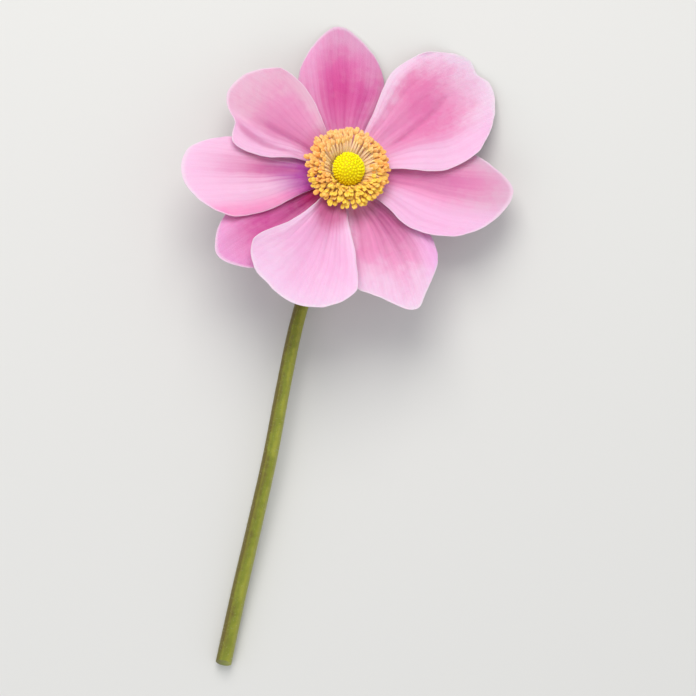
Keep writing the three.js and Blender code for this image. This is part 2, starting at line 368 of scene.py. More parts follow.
class Graph:
    """A node tree with short calls that add nodes and join them."""

    def __init__(self, tree: bpy.types.NodeTree) -> None:
        """Empties the tree."""
        self.tree = tree
        self.tree.nodes.clear()

    def feed(self, socket: bpy.types.NodeSocket, value: Feed) -> None:
        """Feeds an input.

        Args:
            socket: the input.
            value: another node's output, which is joined to it, or a plain value.
        """
        if isinstance(value, bpy.types.NodeSocket):
            self.tree.links.new(value, socket)
        else:
            socket.default_value = value

    def add(
        self,
        kind: str,
        inputs: Mapping[str | int, Feed] | None = None,
        **settings: object,
    ) -> bpy.types.Node:
        """Adds a node.

        Args:
            kind: Blender's name of the node's type.
            inputs: what each input is fed, by its name or number.
            **settings: the node's own settings.

        Returns:
            The node.
        """
        node = self.tree.nodes.new(kind)
        for name, value in settings.items():
            setattr(node, name, value)
        for key, value in (inputs or {}).items():
            self.feed(node.inputs[key], value)
        return node

    def sum(
        self, operation: str, first: Feed, second: Feed = 0.0, third: Feed = 0.0
    ) -> bpy.types.NodeSocket:
        """Output of a math node."""
        inputs = {0: first, 1: second, 2: third}
        return self.add("ShaderNodeMath", inputs, operation=operation).outputs[0]

    def stray(self, value: Feed, amount: Feed, base: Feed) -> bpy.types.NodeSocket:
        """Base that a value from 0 to 1 moves up and down, by half an amount at most."""
        centred = self.sum("SUBTRACT", value, 0.5)
        return self.sum("MULTIPLY_ADD", centred, amount, base)

    def rise(
        self,
        value: Feed,
        low: float,
        high: float,
        start: Feed = 0.0,
        end: Feed = 1.0,
    ) -> bpy.types.NodeSocket:
        """Smooth change of a value.

        Args:
            value: what is read.
            low: value at which the change begins.
            high: value at which it ends.
            start: what comes out at low.
            end: what comes out at high.

        Returns:
            The node's output.
        """
        inputs = {0: value, 1: low, 2: high, 3: start, 4: end}
        node = self.add("ShaderNodeMapRange", inputs, interpolation_type="SMOOTHSTEP")
        return node.outputs[0]

    def mix(self, share: Feed, first: Feed, second: Feed) -> bpy.types.NodeSocket:
        """Colour between two colours."""
        node = self.add("ShaderNodeMix", {0: share, 6: first, 7: second}, data_type="RGBA")
        return node.outputs[2]

    def read(self, mark: Mark) -> bpy.types.NodeSocket:
        """A number that the mesh's vertices carry."""
        return self.add("ShaderNodeAttribute", attribute_name=mark.value).outputs["Fac"]

    def place(self) -> bpy.types.NodeSocket:
        """Place on the piece."""
        return self.add("ShaderNodeTexCoord").outputs["Object"]

    def noise(
        self, vector: Feed, scale: Feed, detail: float = 2.0, distortion: float = 0.0
    ) -> bpy.types.NodeSocket:
        """Noise from 0 to 1, with scale in grains a metre."""
        inputs = {"Vector": vector, "Scale": scale, "Detail": detail, "Distortion": distortion}
        return self.add("ShaderNodeTexNoise", inputs).outputs[0]


def start_material(name: str) -> tuple[bpy.types.Material, Graph]:
    """Makes an empty material.

    Args:
        name: its name.

    Returns:
        The material, and its graph.
    """
    material = bpy.data.materials.new(name)
    material.use_nodes = True
    return material, Graph(material.node_tree)


class Pattern(Enum):
    """Node groups that several materials share."""

    MOTTLE = "mottle"
    VEINS = "fan_veins"
    GRAIN = "cell_grain"


@dataclass(frozen=True)
class VeinOrder:
    """Veins of one order: how many times the first ones, and where they come in."""

    times: float
    starts: float
    ends: float


class Patterns:
    """Builds the shared node groups once, and places them in materials."""

    FINE_SCALE = 4.3
    FINE_DETAIL = 3.0
    FINE_DISTORTION = 0.4
    FINE_SHARE = 0.4
    CLOUD_LIMITS: Limits = (0.3, 0.7)
    VEIN_SWERVE = 0.07
    VEIN_LIMITS: Limits = (0.35, 1.0)
    VEIN_ORDERS = (
        VeinOrder(times=1.0, starts=-0.5, ends=-0.1),
        VeinOrder(times=2.0, starts=0.12, ends=0.35),
        VeinOrder(times=4.0, starts=0.42, ends=0.7),
    )
    CELL_EDGE = 0.9

    def __init__(self) -> None:
        """Builds every group."""
        self.groups = {
            Pattern.MOTTLE: self._mottle(),
            Pattern.VEINS: self._veins(),
            Pattern.GRAIN: self._grain(),
        }

    @staticmethod
    def _start(
        pattern: Pattern, inputs: Mapping[str, str], output: str
    ) -> tuple[bpy.types.NodeTree, Graph, bpy.types.Node]:
        """Starts a group.

        Args:
            pattern: which group it is.
            inputs: name and socket type of each input.
            output: name of its one output, a number.

        Returns:
            The group, its graph, and the node that gives its inputs.
        """
        tree = bpy.data.node_groups.new(pattern.value, "ShaderNodeTree")
        graph = Graph(tree)
        for name, kind in inputs.items():
            tree.interface.new_socket(name=name, in_out="INPUT", socket_type=kind)
        tree.interface.new_socket(
            name=output, in_out="OUTPUT", socket_type="NodeSocketFloat"
        )
        return tree, graph, graph.add("NodeGroupInput")

    def _mottle(self) -> bpy.types.NodeTree:
        """Builds soft clouds out of two sizes of noise.

        Returns:
            The group, which gives a value from 0 to 1.
        """
        tree, graph, given = self._start(
            Pattern.MOTTLE,
            {"Place": "NodeSocketVector", "Scale": "NodeSocketFloat"},
            "Value",
        )
        place, scale = given.outputs["Place"], given.outputs["Scale"]
        wide = graph.noise(place, scale)
        fine_scale = graph.sum("MULTIPLY", scale, self.FINE_SCALE)
        fine = graph.noise(place, fine_scale, self.FINE_DETAIL, self.FINE_DISTORTION)
        base = graph.sum("MULTIPLY", wide, 1 - self.FINE_SHARE)
        both = graph.sum("MULTIPLY_ADD", fine, self.FINE_SHARE, base)
        graph.add("NodeGroupOutput", {0: graph.rise(both, *self.CLOUD_LIMITS)})
        return tree

    def _veins(self) -> bpy.types.NodeTree:
        """Builds lengthwise veins that fork into twice as many, and again, on their way.

        Returns:
            The group, which gives a mask.
        """
        tree, graph, given = self._start(
            Pattern.VEINS,
            {
                "Across": "NodeSocketFloat",
                "Along": "NodeSocketFloat",
                "Waver": "NodeSocketFloat",
                "Count": "NodeSocketFloat",
            },
            "Mask",
        )
        waver, base = given.outputs["Waver"], given.outputs["Across"]
        across = graph.stray(waver, self.VEIN_SWERVE, base)
        found: Feed = 0.0
        for order in self.VEIN_ORDERS:
            count = graph.sum("MULTIPLY", given.outputs["Count"], order.times)
            turns = graph.sum("MULTIPLY", across, count)
            wave = graph.sum("COSINE", graph.sum("MULTIPLY", turns, 2 * math.pi))
            lines = graph.rise(wave, *self.VEIN_LIMITS)
            begun = graph.rise(given.outputs["Along"], order.starts, order.ends)
            shown = graph.sum("MULTIPLY", lines, begun)
            weaker = graph.sum("MULTIPLY", shown, 1.0 / math.sqrt(order.times))
            found = graph.sum("MAXIMUM", found, weaker)
        graph.add("NodeGroupOutput", {0: found})
        return tree

    def _grain(self) -> bpy.types.NodeTree:
        """Builds a skin of small rounded cells.

        Returns:
            The group, which gives a height from 0 to 1.
        """
        tree, graph, given = self._start(
            Pattern.GRAIN,
            {"Place": "NodeSocketVector", "Scale": "NodeSocketFloat"},
            "Height",
        )
        cells = graph.add(
            "ShaderNodeTexVoronoi",
            {"Vector": given.outputs["Place"], "Scale": given.outputs["Scale"]},
            feature="SMOOTH_F1",
        )
        domes = graph.rise(cells.outputs["Distance"], 0.0, self.CELL_EDGE, 1.0, 0.0)
        graph.add("NodeGroupOutput", {0: domes})
        return tree

    def put(
        self, graph: Graph, pattern: Pattern, inputs: Mapping[str, Feed]
    ) -> bpy.types.NodeSocket:
        """Places a group in a material.

        Args:
            graph: the material's graph.
            pattern: which group.
            inputs: what its inputs are fed.

        Returns:
            The group's output.
        """
        node = graph.add("ShaderNodeGroup", node_tree=self.groups[pattern])
        for name, value in inputs.items():
            graph.feed(node.inputs[name], value)
        return node.outputs[0]

    def spread(self, graph: Graph, pattern: Pattern, scale: float) -> bpy.types.NodeSocket:
        """Places a group over a whole piece, with scale in grains a metre."""
        return self.put(graph, pattern, {"Place": graph.place(), "Scale": scale})


@dataclass(frozen=True)
class Coat:
    """Colour that comes over another one while some value rises from low to high."""

    colour: str
    low: float
    high: float
    before: float = 0.0
    after: float = 1.0

    def over(self, graph: Graph, value: Feed, below: Feed) -> bpy.types.NodeSocket:
        """Colour that comes of this coat over the one below, as a value leads it."""
        share = graph.rise(value, self.low, self.high, self.before, self.after)
        return graph.mix(share, below, linear(self.colour))


@dataclass(frozen=True)
class Skin:
    """What the shader of a finish is set to, the same all over the surface."""

    bump_depth: float
    subsurface: float = 0.0
    subsurface_depth: float = 1.0
    subsurface_tint: Tint = (1.0, 0.5, 0.6)
    sheen: float = 0.0
    sheen_roughness: float = 0.4
    specular: float = 0.4

    def shade(self, graph: Graph, colour: Feed, roughness: Feed, height: Feed) -> None:
        """Ends a material with its shader.

        Args:
            graph: the material's graph.
            colour: its colour.
            roughness: its roughness.
            height: height of its bump, as a share of the bump's depth.
        """
        bump = graph.add(
            "ShaderNodeBump",
            {"Strength": 1.0, "Distance": self.bump_depth * METRES, "Height": height},
        )
        shader = graph.add(
            "ShaderNodeBsdfPrincipled",
            {
                "Base Color": colour,
                "Roughness": roughness,
                "Normal": bump.outputs["Normal"],
                "Subsurface Weight": self.subsurface,
                "Subsurface Radius": self.subsurface_tint,
                "Subsurface Scale": self.subsurface_depth * METRES,
                "Sheen Weight": self.sheen,
                "Sheen Roughness": self.sheen_roughness,
                "Specular IOR Level": self.specular,
            },
        )
        graph.add("ShaderNodeOutputMaterial", {"Surface": shader.outputs["BSDF"]})


class CoatedFinish(ABC):
    """Finish of coats over a ground colour, with soft clouds and a fine grain."""

    name: str
    ground: str
    mottle: float
    grain: float
    roughness: Limits
    skin: Skin

    @abstractmethod
    def coats(self, graph: Graph, cloud: Feed) -> list[tuple[Coat, Feed]]:
        """Lists the coats.

        Args:
            graph: the material's graph.
            cloud: the finish's clouds, 0 to 1.

        Returns:
            Each coat and the value that leads it, the lowest coat first.
        """

    def material(self, patterns: Patterns) -> bpy.types.Material:
        """Makes the finish's material.

        Args:
            patterns: the shared node groups.

        Returns:
            The material.
        """
        material, graph = start_material(self.name)
        cloud = patterns.spread(graph, Pattern.MOTTLE, self.mottle)
        colour: Feed = linear(self.ground)
        for coat, value in self.coats(graph, cloud):
            colour = coat.over(graph, value, colour)
        grain = patterns.spread(graph, Pattern.GRAIN, self.grain)
        roughness = graph.rise(cloud, 0.0, 1.0, *self.roughness)
        self.skin.shade(graph, colour, roughness, grain)
        return material


class SubAssembly(ABC):
    """Part of the flower that is built and dressed by itself."""

    @abstractmethod
    def build(self, patterns: Patterns) -> list[bpy.types.Object]:
        """Builds and dresses the pieces.

        Args:
            patterns: the shared node groups.

        Returns:
            The pieces.
        """


# ---- Tepals ----------------------------------------------------------------------------


@dataclass(frozen=True)
class BladeForm:
    """What the shapes of all the tepals have in common."""

    solid_thickness: float = 0.65
    claw_start: float = 3.0
    claw_half_width: float = 1.7
    edge_share: float = 0.3
    columns: int = 72
    rows: int = 92
    saucer_rise: float = 0.158
    saucer_flattening: float = 0.0019
    relief_limits: Limits = (0.06, 0.45)
    edge_power: float = 2.2
    ripple_power: float = 3.0
    ripple_waves: float = 1.7
    ripple_skew: float = 0.3
    groove_width: float = 0.22
    groove_power: float = 4.0
    tip_power: float = 3.0
    claw_thickness: float = 0.6
    body_thickness: float = 0.36
    body_begins: float = 0.3
    rim_thickness: float = 0.14
    rim_power: float = 9.0
    vein_count: float = 7.0
    vein_depth: float = 0.028
    vein_edge: float = 0.1
    vein_rise: Limits = (0.08, 0.25)
    vein_fall: Limits = (0.5, 1.0)
    vein_loss: float = 0.6
    notch_depth: float = 0.28
    notch_size: float = 2.1
    notch_step: float = 7.3
    notch_limits: Limits = (0.15, 0.5)
    notch_target: float = 16.0
    swell_height: float = 0.3
    swell_size: float = 8.0
    swell_slice: float = 3.1
    swell_rise: Limits = (7.0, 14.0)
    swell_fall: Limits = (26.0, 31.0)


@dataclass(frozen=True)
class BladePaint:
    """What the finishes of all the tepals have in common."""

    mottle: float = 140.0
    waver: float = 110.0
    grain: float = 5200.0
    roughness: Limits = (0.52, 0.66)
    edge_limits: Limits = (0.5, 1.0)
    edge_raggedness: float = 0.16
    flank_blend: float = 0.45
    inner_limits: Limits = (0.25, 0.6)
    flush_fray: float = 0.1
    flush_fray_level: float = 0.3
    flush_fade: Limits = (0.35, 0.15)
    # painted shade in grooves: the depths over which it comes in, and its strongest share
    groove_shade_limits: Limits = (0.05, 0.5)
    groove_shade_strength: float = 0.7
    vein_limits: Limits = (0.3, 1.0)
    vein_end: float = 0.35
    vein_relief: float = -0.8
    rim: str = "#e5cfdb"
    rim_limits: Limits = (0.965, 0.995)
    rim_strength: float = 0.55
    pale_limits: Limits = (0.2, 0.9)
    pale_strength: float = 0.08
    under: str = "#d3b3c4"
    under_strength: float = 0.22
    under_vein_gain: float = 1.5
    under_vein_relief: float = 0.9
    under_sheen: float = 0.35
    skin: Skin = Skin(
        bump_depth=0.022,
        subsurface=0.45,
        subsurface_depth=1.1,
        subsurface_tint=(1.0, 0.45, 0.65),
        sheen=0.18,
        specular=0.35,
    )


BLADE = BladeForm()
PAINT = BladePaint()


@dataclass(frozen=True)
class Flush:
    """Deeper colour that runs out from the claw, and may drift sideways on its way."""

    colour: str
    start: float = 0.0
    drift: float = 0.0
    width: float = 0.6
    reach: float = 0.7
    inner: str = ""

    def paint(self, graph: Graph, along: Feed) -> Feed:
        """Adds the flush's colour, which may differ near the claw.

        Args:
            graph: the material's graph.
            along: place along the blade, 0 to 1.

        Returns:
            The colour.
        """
        if not self.inner:
            return linear(self.colour)
        return Coat(self.colour, *PAINT.inner_limits).over(graph, along, linear(self.inner))

    def mask(self, graph: Graph, side: Feed, along: Feed, veins: Feed) -> Feed:
        """Adds the nodes that tell where the flush is.

        Args:
            graph: the material's graph.
            side: place across the blade, -1 to 1.
            along: place along it, 0 to 1.
            veins: the veins' mask, which frays the flush.

        Returns:
            Share of the flush, 0 to 1.
        """
        middle = graph.sum("MULTIPLY_ADD", along, self.drift, self.start)
        aside = graph.sum("ABSOLUTE", graph.sum("SUBTRACT", side, middle))
        level = graph.sum("SUBTRACT", veins, PAINT.flush_fray_level)
        frayed = graph.sum("MULTIPLY_ADD", level, -PAINT.flush_fray, aside)
        band = graph.rise(frayed, 0.0, self.width, 1.0, 0.0)
        within, past = PAINT.flush_fade
        reach = graph.rise(along, self.reach - within, self.reach + past, 1.0, 0.0)
        return graph.sum("MULTIPLY", band, reach)


@dataclass(frozen=True)
class Flank:
    """Colour that lies over one side of a tepal, from some way out."""

    colour: str
    side: Side
    begins: float
    strength: float

    def over(self, graph: Graph, side: Feed, below: Feed) -> bpy.types.NodeSocket:
        """Lays the flank's colour over another.

        Args:
            graph: the material's graph.
            side: place across the blade, -1 to 1.
            below: the other colour.

        Returns:
            The colour of both.
        """
        outward = graph.sum("MULTIPLY", side, self.side.value)
        ends = self.begins + PAINT.flank_blend
        coat = Coat(self.colour, self.begins, ends, after=self.strength)
        return coat.over(graph, outward, below)


@dataclass(frozen=True)
class TepalFinish:
    """Colours of one tepal, how far its claw's colour reaches, and how bold its veins are."""

    body: str
    edge: str
    flush: Flush
    flank: Flank | None = None
    claw: str = "#b3518d"
    claw_strength: float = 0.5
    claw_begins: float = 0.12
    claw_reach: float = 0.4
    # colour of the painted shade in the blade's grooves
    hollow: str = "#c4689b"
    veins: float = 0.17

    def material(self, name: str, face: Face, patterns: Patterns) -> bpy.types.Material:
        """Makes the material of one face of the tepal.

        Args:
            name: name of the material.
            face: the face that it covers. The under face is greyer, with bolder veins and
                more sheen.
            patterns: the shared node groups.

        Returns:
            The material.
        """
        under = face is Face.UNDER
        material, graph = start_material(name)
        chart = graph.add("ShaderNodeUVMap", uv_map=BLADE_MAP)
        split = graph.add("ShaderNodeSeparateXYZ", {0: chart.outputs["UV"]})
        across, along = split.outputs["X"], split.outputs["Y"]
        side = graph.sum("MULTIPLY_ADD", across, 2.0, -1.0)
        outward = graph.sum("MAXIMUM", graph.sum("ABSOLUTE", side), along)
        cloud = patterns.spread(graph, Pattern.MOTTLE, PAINT.mottle)
        waver = graph.noise(graph.place(), PAINT.waver)
        veins = patterns.put(
            graph,
            Pattern.VEINS,
            {"Across": across, "Along": along, "Waver": waver, "Count": BLADE.vein_count},
        )
        ragged = graph.stray(cloud, PAINT.edge_raggedness, outward)
        colour = Coat(self.edge, *PAINT.edge_limits).over(graph, ragged, linear(self.body))
        if self.flank:
            colour = self.flank.over(graph, side, colour)
        flush = self.flush.paint(graph, along)
        colour = graph.mix(self.flush.mask(graph, side, along, veins), colour, flush)
        claw = Coat(
            self.claw,
            self.claw_begins,
            self.claw_reach,
            before=self.claw_strength,
            after=0.0,
        )
        colour = claw.over(graph, along, colour)
        # painted shade: the grooves darken with their depth
        hollow = Coat(self.hollow, *PAINT.groove_shade_limits, after=PAINT.groove_shade_strength)
        colour = hollow.over(graph, graph.read(Mark.HOLLOW), colour)
        strength = self.veins * (PAINT.under_vein_gain if under else 1.0)
        fading = graph.rise(along, *PAINT.vein_limits, strength, strength * PAINT.vein_end)
        colour = graph.mix(graph.sum("MULTIPLY", veins, fading), colour, flush)
        pale = Coat(PAINT.rim, *PAINT.pale_limits, after=PAINT.pale_strength)
        colour = pale.over(graph, cloud, colour)
        rim = Coat(PAINT.rim, *PAINT.rim_limits, after=PAINT.rim_strength)
        colour = rim.over(graph, outward, colour)
        if under:
            colour = graph.mix(PAINT.under_strength, colour, linear(PAINT.under))
        grain = patterns.spread(graph, Pattern.GRAIN, PAINT.grain)
        relief = PAINT.under_vein_relief if under else PAINT.vein_relief
        height = graph.sum("MULTIPLY_ADD", veins, relief, grain)
        roughness = graph.rise(cloud, 0.0, 1.0, *PAINT.roughness)
        skin = replace(PAINT.skin, sheen=PAINT.under_sheen) if under else PAINT.skin
        skin.shade(graph, colour, roughness, height)
        return material


@dataclass(frozen=True)
class Plaits:
    """Soft lengthwise folds over the inner part of a blade."""

    depth: float = 0.1
    count: float = 5.0
    rise: Limits = (0.1, 0.32)
    fall: Limits = (0.45, 0.95)

    def height(self, side: float, along: float) -> float:
        """Height of the folds at a place on the blade."""
        shown = smoothstep(along, *self.rise) * (1 - smoothstep(along, *self.fall))
        return self.depth * shown * math.cos(math.pi * self.count * side)


@dataclass(frozen=True)
class Crease:
    """Lengthwise groove, or a ridge where its depth is below 0, that may run slantwise."""

    depth: float
    start: float
    drift: float = 0.0
    width: float = 0.07
    begins: float = 0.25
    ends: float = 0.8
    run_in: float = 0.15
    run_out: float = 0.2

    def depth_at(self, side: float, along: float) -> float:
        """Tells how deep the groove is.

        Args:
            side: place across the blade, -1 to 1.
            along: place along it, 0 to 1.

        Returns:
            The depth in millimetres.
        """
        aside = (side - self.start - self.drift * along) / self.width
        shown = smoothstep(along, self.begins, self.begins + self.run_in)
        shown *= 1 - smoothstep(along, self.ends - self.run_out, self.ends)
        return self.depth * shown * math.exp(-(aside**2))


@dataclass(frozen=True)
class Bay:
    """Shallow dent in a tepal's outline."""

    place: tuple[float, float]
    depth: float
    radius: float

    def depth_at(self, flat: Vector) -> float:
        """Depth of the dent at a flat point of the blade."""
        away = math.dist(self.place, flat.xy) / self.radius
        return self.depth * math.exp(-(away**2))


@dataclass(frozen=True)
class Tepal(SubAssembly):
    """One tepal: a saucer-shaped blade on a narrow claw.

    Its outline is a flat one, with points as distance out from the flower's centre and
    offset to the anticlockwise side. The edge lifts are those of the clockwise side and
    of the anticlockwise one.
    """

    number: int
    azimuth: float
    layer: Layer
    edge_lifts: tuple[float, float]
    tip_rise: float
    groove: float
    outline: tuple[tuple[float, float], ...]
    finish: TepalFinish
    ripple: float = 0.0
    plaits: Plaits = Plaits()
    creases: tuple[Crease, ...] = ()
    bays: tuple[Bay, ...] = ()

    @property
    def node(self) -> str:
        """Name of the solid that this tepal stands for."""
        return f"tepal_{self.number}"

    def _spline(self) -> Spline:
        """Rounds off the outline.

        Returns:
            The outline from one corner of the claw round the end to the other corner.
        """
        start = (BLADE.claw_start, -BLADE.claw_half_width)
        finish = (BLADE.claw_start, BLADE.claw_half_width)
        points = (start, *self.outline, finish)
        return Spline(tuple(Vector((out, offset, 0)) for out, offset in points))

    def _patch(self) -> Callable[[float, float], Vector]:
        """Flat blade, as a patch stretched between its claw, edges and end.

        Returns:
            A function from side, -1 to 1, and along, 0 to 1, to the flat point.
        """
        spline = self._spline()
        known: dict[float, Vector] = {}

        def rim(share: float) -> Vector:
            """Point of the outline, worked out once."""
            if share not in known:
                known[share] = spline.at(share)
            return known[share]

        share = BLADE.edge_share

        def point(side: float, along: float) -> Vector:
            """Finds a flat point of the blade.

            Args:
                side: place across, -1 to 1.
                along: place along, 0 to 1.

            Returns:
                The point.
            """
            other = (side + 1) / 2
            found = (1 - along) * Vector((BLADE.claw_start, side * BLADE.claw_half_width, 0))
            found += along * rim(lerp(share, 1 - share, other))
            for weight, edge, claw, end in (
                (1 - other, share * along, 0.0, share),
                (other, 1 - share * along, 1.0, 1 - share),
            ):
                found += weight * (rim(edge) - (1 - along) * rim(claw) - along * rim(end))
            return found

        return point

    def _folds(self, side: float, along: float) -> float:
        """Height of the blade's own folds, which is below 0 in a hollow."""
        creases = sum(crease.depth_at(side, along) for crease in self.creases)
        return self.plaits.height(side, along) - creases

    @staticmethod
    def _veining(side: float, along: float) -> float:
        """Depth of the fine veins.

        Args:
            side: place across, -1 to 1.
            along: place along, 0 to 1.

        Returns:
            The depth in millimetres.
        """
        vein = math.cos(2 * math.pi * BLADE.vein_count * (side + 1))
        fading = 1 - BLADE.vein_loss * smoothstep(along, *BLADE.vein_fall)
        showing = smoothstep(along, *BLADE.vein_rise) * fading
        return BLADE.vein_depth * showing * smoothstep(vein, BLADE.vein_edge, 1.0)

    def _relief(self, side: float, along: float) -> float:
        """Height of the blade's relief above the saucer.

        Args:
            side: place across, -1 to 1.
            along: place along, 0 to 1.

        Returns:
            The height in millimetres.
        """
        lift = self.edge_lifts[0 if side < 0 else 1] * abs(side) ** BLADE.edge_power
        wave = math.sin(2 * math.pi * (BLADE.ripple_waves * along + BLADE.ripple_skew * side))
        ripple = self.ripple * abs(side) ** BLADE.ripple_power * wave
        groove = self.groove * math.exp(-((side / BLADE.groove_width) ** 2))
        groove *= 1 - along**BLADE.groove_power
        main = smoothstep(along, *BLADE.relief_limits) * (lift + ripple - groove)
        tip = self.tip_rise * along**BLADE.tip_power
        return main + tip + self._folds(side, along) - self._veining(side, along)

    @staticmethod
    def _edge_nearness(side: float, along: float) -> float:
        """0 over the blade, rising to 1 at its edges and end."""
        return max(abs(side), along) ** BLADE.rim_power

    def _inset(self, flat: Vector, side: float, along: float) -> Vector:
        """Draws the blade's rim in, by small notches and by its bays.

        Args:
            flat: the flat point.
            side: place across, -1 to 1.
            along: place along, 0 to 1.

        Returns:
            The flat point after that.
        """
        sample = Vector((flat.x, flat.y, 0)) / BLADE.notch_size
        sample.z = self.number * BLADE.notch_step
        notch = BLADE.notch_depth * (0.5 + 0.5 * noise.noise(sample))
        notch += sum(bay.depth_at(flat) for bay in self.bays)
        near = self._edge_nearness(side, along) * smoothstep(along, *BLADE.notch_limits)
        inward = flat - Vector((BLADE.notch_target, 0, 0))
        return flat - inward.normalized() * notch * near

    def _middle(self, flat: Vector, side: float, along: float) -> Vector:
        """Point of the blade's middle surface, in the flower frame.

        Args:
            flat: the flat point.
            side: place across, -1 to 1.
            along: place along, 0 to 1.

        Returns:
            The point.
        """
        point = self._inset(flat, side, along)
        reach = flat.length
        point.z = self.layer.value + BLADE.saucer_rise * reach
        point.z += self._relief(side, along) - BLADE.saucer_flattening * reach**2
        point.rotate(Matrix.Rotation(math.radians(self.azimuth), 3, "Z"))
        level = smoothstep(reach, *BLADE.swell_rise) * (1 - smoothstep(reach, *BLADE.swell_fall))
        cloud = noise.noise(Vector((point.x, point.y, BLADE.swell_slice)) / BLADE.swell_size)
        point.z += BLADE.swell_height * level * cloud
        return point

    def _thickness(self, side: float, along: float) -> float:
        """Thickness of the dressed blade, thin at its edges and end.

        Args:
            side: place across, -1 to 1.
            along: place along, 0 to 1.

        Returns:
            The thickness in millimetres.
        """
        thinning = smoothstep(along, 0.0, BLADE.body_begins)
        body = lerp(BLADE.claw_thickness, BLADE.body_thickness, thinning)
        return lerp(body, BLADE.rim_thickness, self._edge_nearness(side, along))

    def build(self, patterns: Patterns) -> list[bpy.types.Object]:
        """Builds and dresses the tepal.

        Args:
            patterns: the shared node groups.

        Returns:
            The one piece.
        """
        bm = bmesh.new()
        bm.loops.layers.uv.new(BLADE_MAP)
        hollow = Mark.HOLLOW.layer(bm)
        bmesh.ops.create_grid(
            bm, x_segments=BLADE.columns, y_segments=BLADE.rows, size=1, calc_uvs=True
        )
        chart = {vert: (vert.co.x, (vert.co.y + 1) / 2) for vert in bm.verts}
        patch = self._patch()
        for vert, (side, along) in chart.items():
            vert.co = self._middle(patch(side, along), side, along)
            # groove depth, which leads the painted shade in the grooves
            vert[hollow] = max(-self._folds(side, along), 0.0)
        bm.normal_update()
        lean = 1.0 if sum(face.normal.z for face in bm.faces) > 0 else -1.0
        ups = {vert: lean * vert.normal.copy() for vert in bm.verts}
        lower = list(bm.verts)
        for under, upper in zip(lower, self._double(bm)):
            up = ups[under]
            floor = under.co - up * (BLADE.solid_thickness / 2)
            upper.co = floor + up * self._thickness(*chart[under])
            under.co = floor
        bmesh.ops.recalc_face_normals(bm, faces=bm.faces)
        name = f"{self.node}_blade"
        finishes = [
            self.finish.material(f"{name}_{face.name.lower()}", face, patterns) for face in Face
        ]
        return [make_piece(bm, name, STAND.matrix(), finishes, self.node)]

    @staticmethod
    def _double(bm: bmesh.types.BMesh) -> list[bmesh.types.BMVert]:
        """Gives the sheet a second face and a rim between the two.

        Args:
            bm: mesh with the sheet, which becomes the under face.

        Returns:
            The second face's vertices, in the order of the sheet's own.
        """

        def place(vert: bmesh.types.BMVert) -> tuple[float, ...]:
            """Rounded place, which a vertex shares with its copy."""
            return tuple(round(part, PLACE_DIGITS) for part in vert.co)

        under = set(bm.faces)
        order = {place(vert): i for i, vert in enumerate(bm.verts)}
        new = bmesh.ops.extrude_face_region(bm, geom=list(bm.faces))["geom"]
        copies = [item for item in new if isinstance(item, bmesh.types.BMVert)]
        copies.sort(key=lambda vert: order[place(vert)])
        upper = {item for item in new if isinstance(item, bmesh.types.BMFace)}
        for surface in bm.faces:
            if surface in under:
                surface.material_index = Face.UNDER.value
            elif surface in upper:
                surface.material_index = Face.UPPER.value
        for edge in bm.edges:
            kinds = {(surface in upper, surface in under) for surface in edge.link_faces}
            if len(kinds) > 1:
                edge.smooth = False
        return copies
